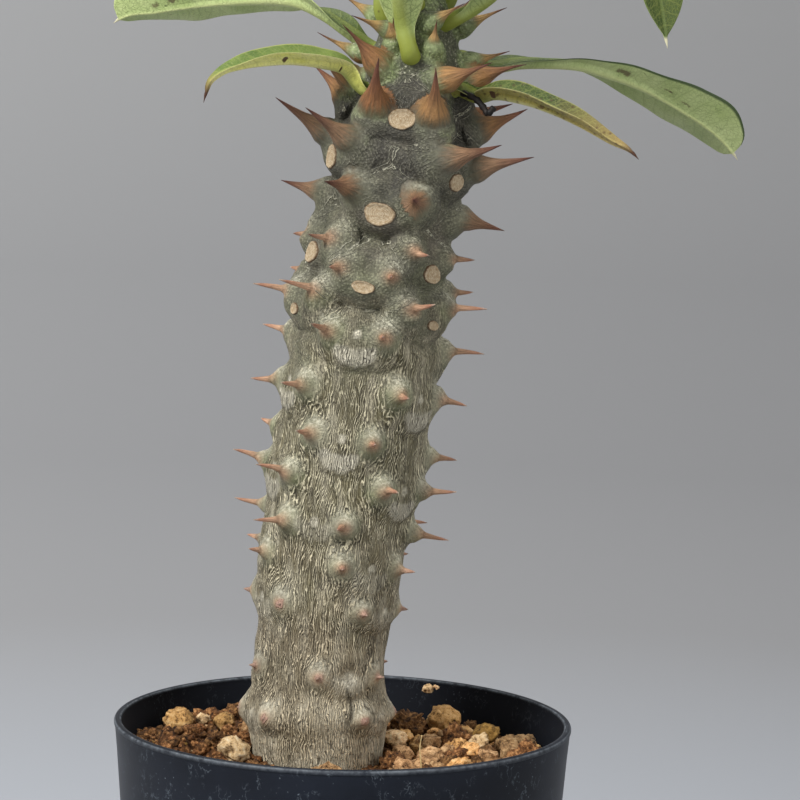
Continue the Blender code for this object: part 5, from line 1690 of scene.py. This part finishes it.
def tube(middles, radii, sides):
    """Points and faces of a closed tube through these places."""
    middles = np.asarray(middles, float)
    ahead = np.gradient(middles, axis=0)
    ahead /= np.linalg.norm(ahead, axis=1, keepdims=True)
    side = np.cross(ahead, (0.31, 0.17, 0.94))
    side /= np.linalg.norm(side, axis=1, keepdims=True)
    other = np.cross(ahead, side)
    turns = (np.arange(sides) * math.tau / sides)[None, :, None]
    around = np.cos(turns) * side[:, None] + np.sin(turns) * other[:, None]
    rings = middles[:, None] + np.asarray(radii)[:, None, None] * around
    return np.vstack([rings.reshape(-1, 3), middles[:1], middles[-1:]]), ring_faces(len(middles), sides)


def smoothed(places, count):
    """This many places on a smooth curve through the given ones, in metres."""
    rows = np.column_stack([range(len(places)), places])
    return along_rows(rows, np.linspace(0, len(places) - 1, count)) * MM


def joined(name, parts):
    points, faces, count = [], [], 0
    for some, more in parts:
        points.append(some)
        faces.extend([count + i for i in face] for face in more)
        count += len(some)
    mesh = outward(mesh_from(name, np.vstack(points), faces))
    mesh.shade_smooth()
    return linked(name, mesh)


def plain_material(name, colour, dark, grain, roughness=0.8):
    """One dry stuff with a mottle of the given size in millimetres."""
    material, tree, shader, place = new_material(name, roughness, 0.3)
    mottle = add(tree, "TexNoise", [place, 1000 / grain, 4])
    share = add(tree, "MapRange", [mottle, 0.4, 0.65])
    colour = add(tree, "Mix", [share, dark, colour])
    tree.links.new(colour, shader.inputs["Base Color"])
    return material


def hairs_of(height, azimuth, above, draw):
    """Heights, azimuths and lifts along hairs that start between a node's two thorns and spread upwards."""
    for _ in range(HAIRS_BY_NODE):
        side, up = draw.gauss(0, 1.5), above + draw.gauss(0.6, 0.8)
        lean, bend = draw.gauss(0, 0.65), draw.gauss(0, 0.5)
        share = np.linspace(0, 1, HAIR_POINTS)
        turn = lean + bend * share
        reach = draw.uniform(*HAIR_LENGTH) * share
        at_height = height + (up + np.cos(turn) * reach) * MM
        around = azimuth + np.degrees((side + np.sin(turn) * reach) * MM / trunk_at(at_height)[1])
        yield at_height, around, (0.03 + draw.uniform(0.1, 0.4) * share) * MM


draw_hair = random.Random(HAIR_SEED)
hairs = []
for whorl, number, height, azimuth in NODES:
    if whorl in HAIRY_WHORLS:
        above = ABOVE_A_SCAR if whorl in SCAR_HALVES else ABOVE_A_LEAF
        hairs.extend(hairs_of(height, azimuth, above, draw_hair))
middles = on_skin(*(np.array(column) for column in zip(*hairs)))
slimming = np.linspace(1, 0.4, HAIR_POINTS) * HAIR_RADIUS * MM
wool = joined("wool", [tube(middle, slimming, HAIR_SIDES) for middle in middles])
wool.data.materials.append(plain_material("white_wool", WOOL_WHITE, WOOL_SHADE, 1.0))
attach(wool, "root")
bumps = [STUB_RADIUS * MM * (1 + 0.18 * math.sin(2.3 * i)) for i in range(3 * len(STUB) - 2)]
stub = joined("leaf_stub", [tube(smoothed(STUB, len(bumps)), bumps, STUB_SIDES)])
stub.data.materials.append(plain_material("black_dried_stalk", STUB_BROWN, STUB_BLACK, 0.8, 0.6))
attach(stub, "root")
tapering = np.linspace(1.1, 0.5, STRAW_POINTS) * STRAW_RADIUS * MM
straw = joined("straw", [tube(smoothed(STRAW, STRAW_POINTS), tapering, STRAW_SIDES)])
straw.data.materials.append(plain_material("dry_straw", STRAW_PALE, STRAW_SHADE, 0.8))
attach(straw, "root")
crumb = scattered("wall_crumb", CRUMBS, granules, stone_finish["pumice"], CRUMB_SEED)
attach(crumb, "root")
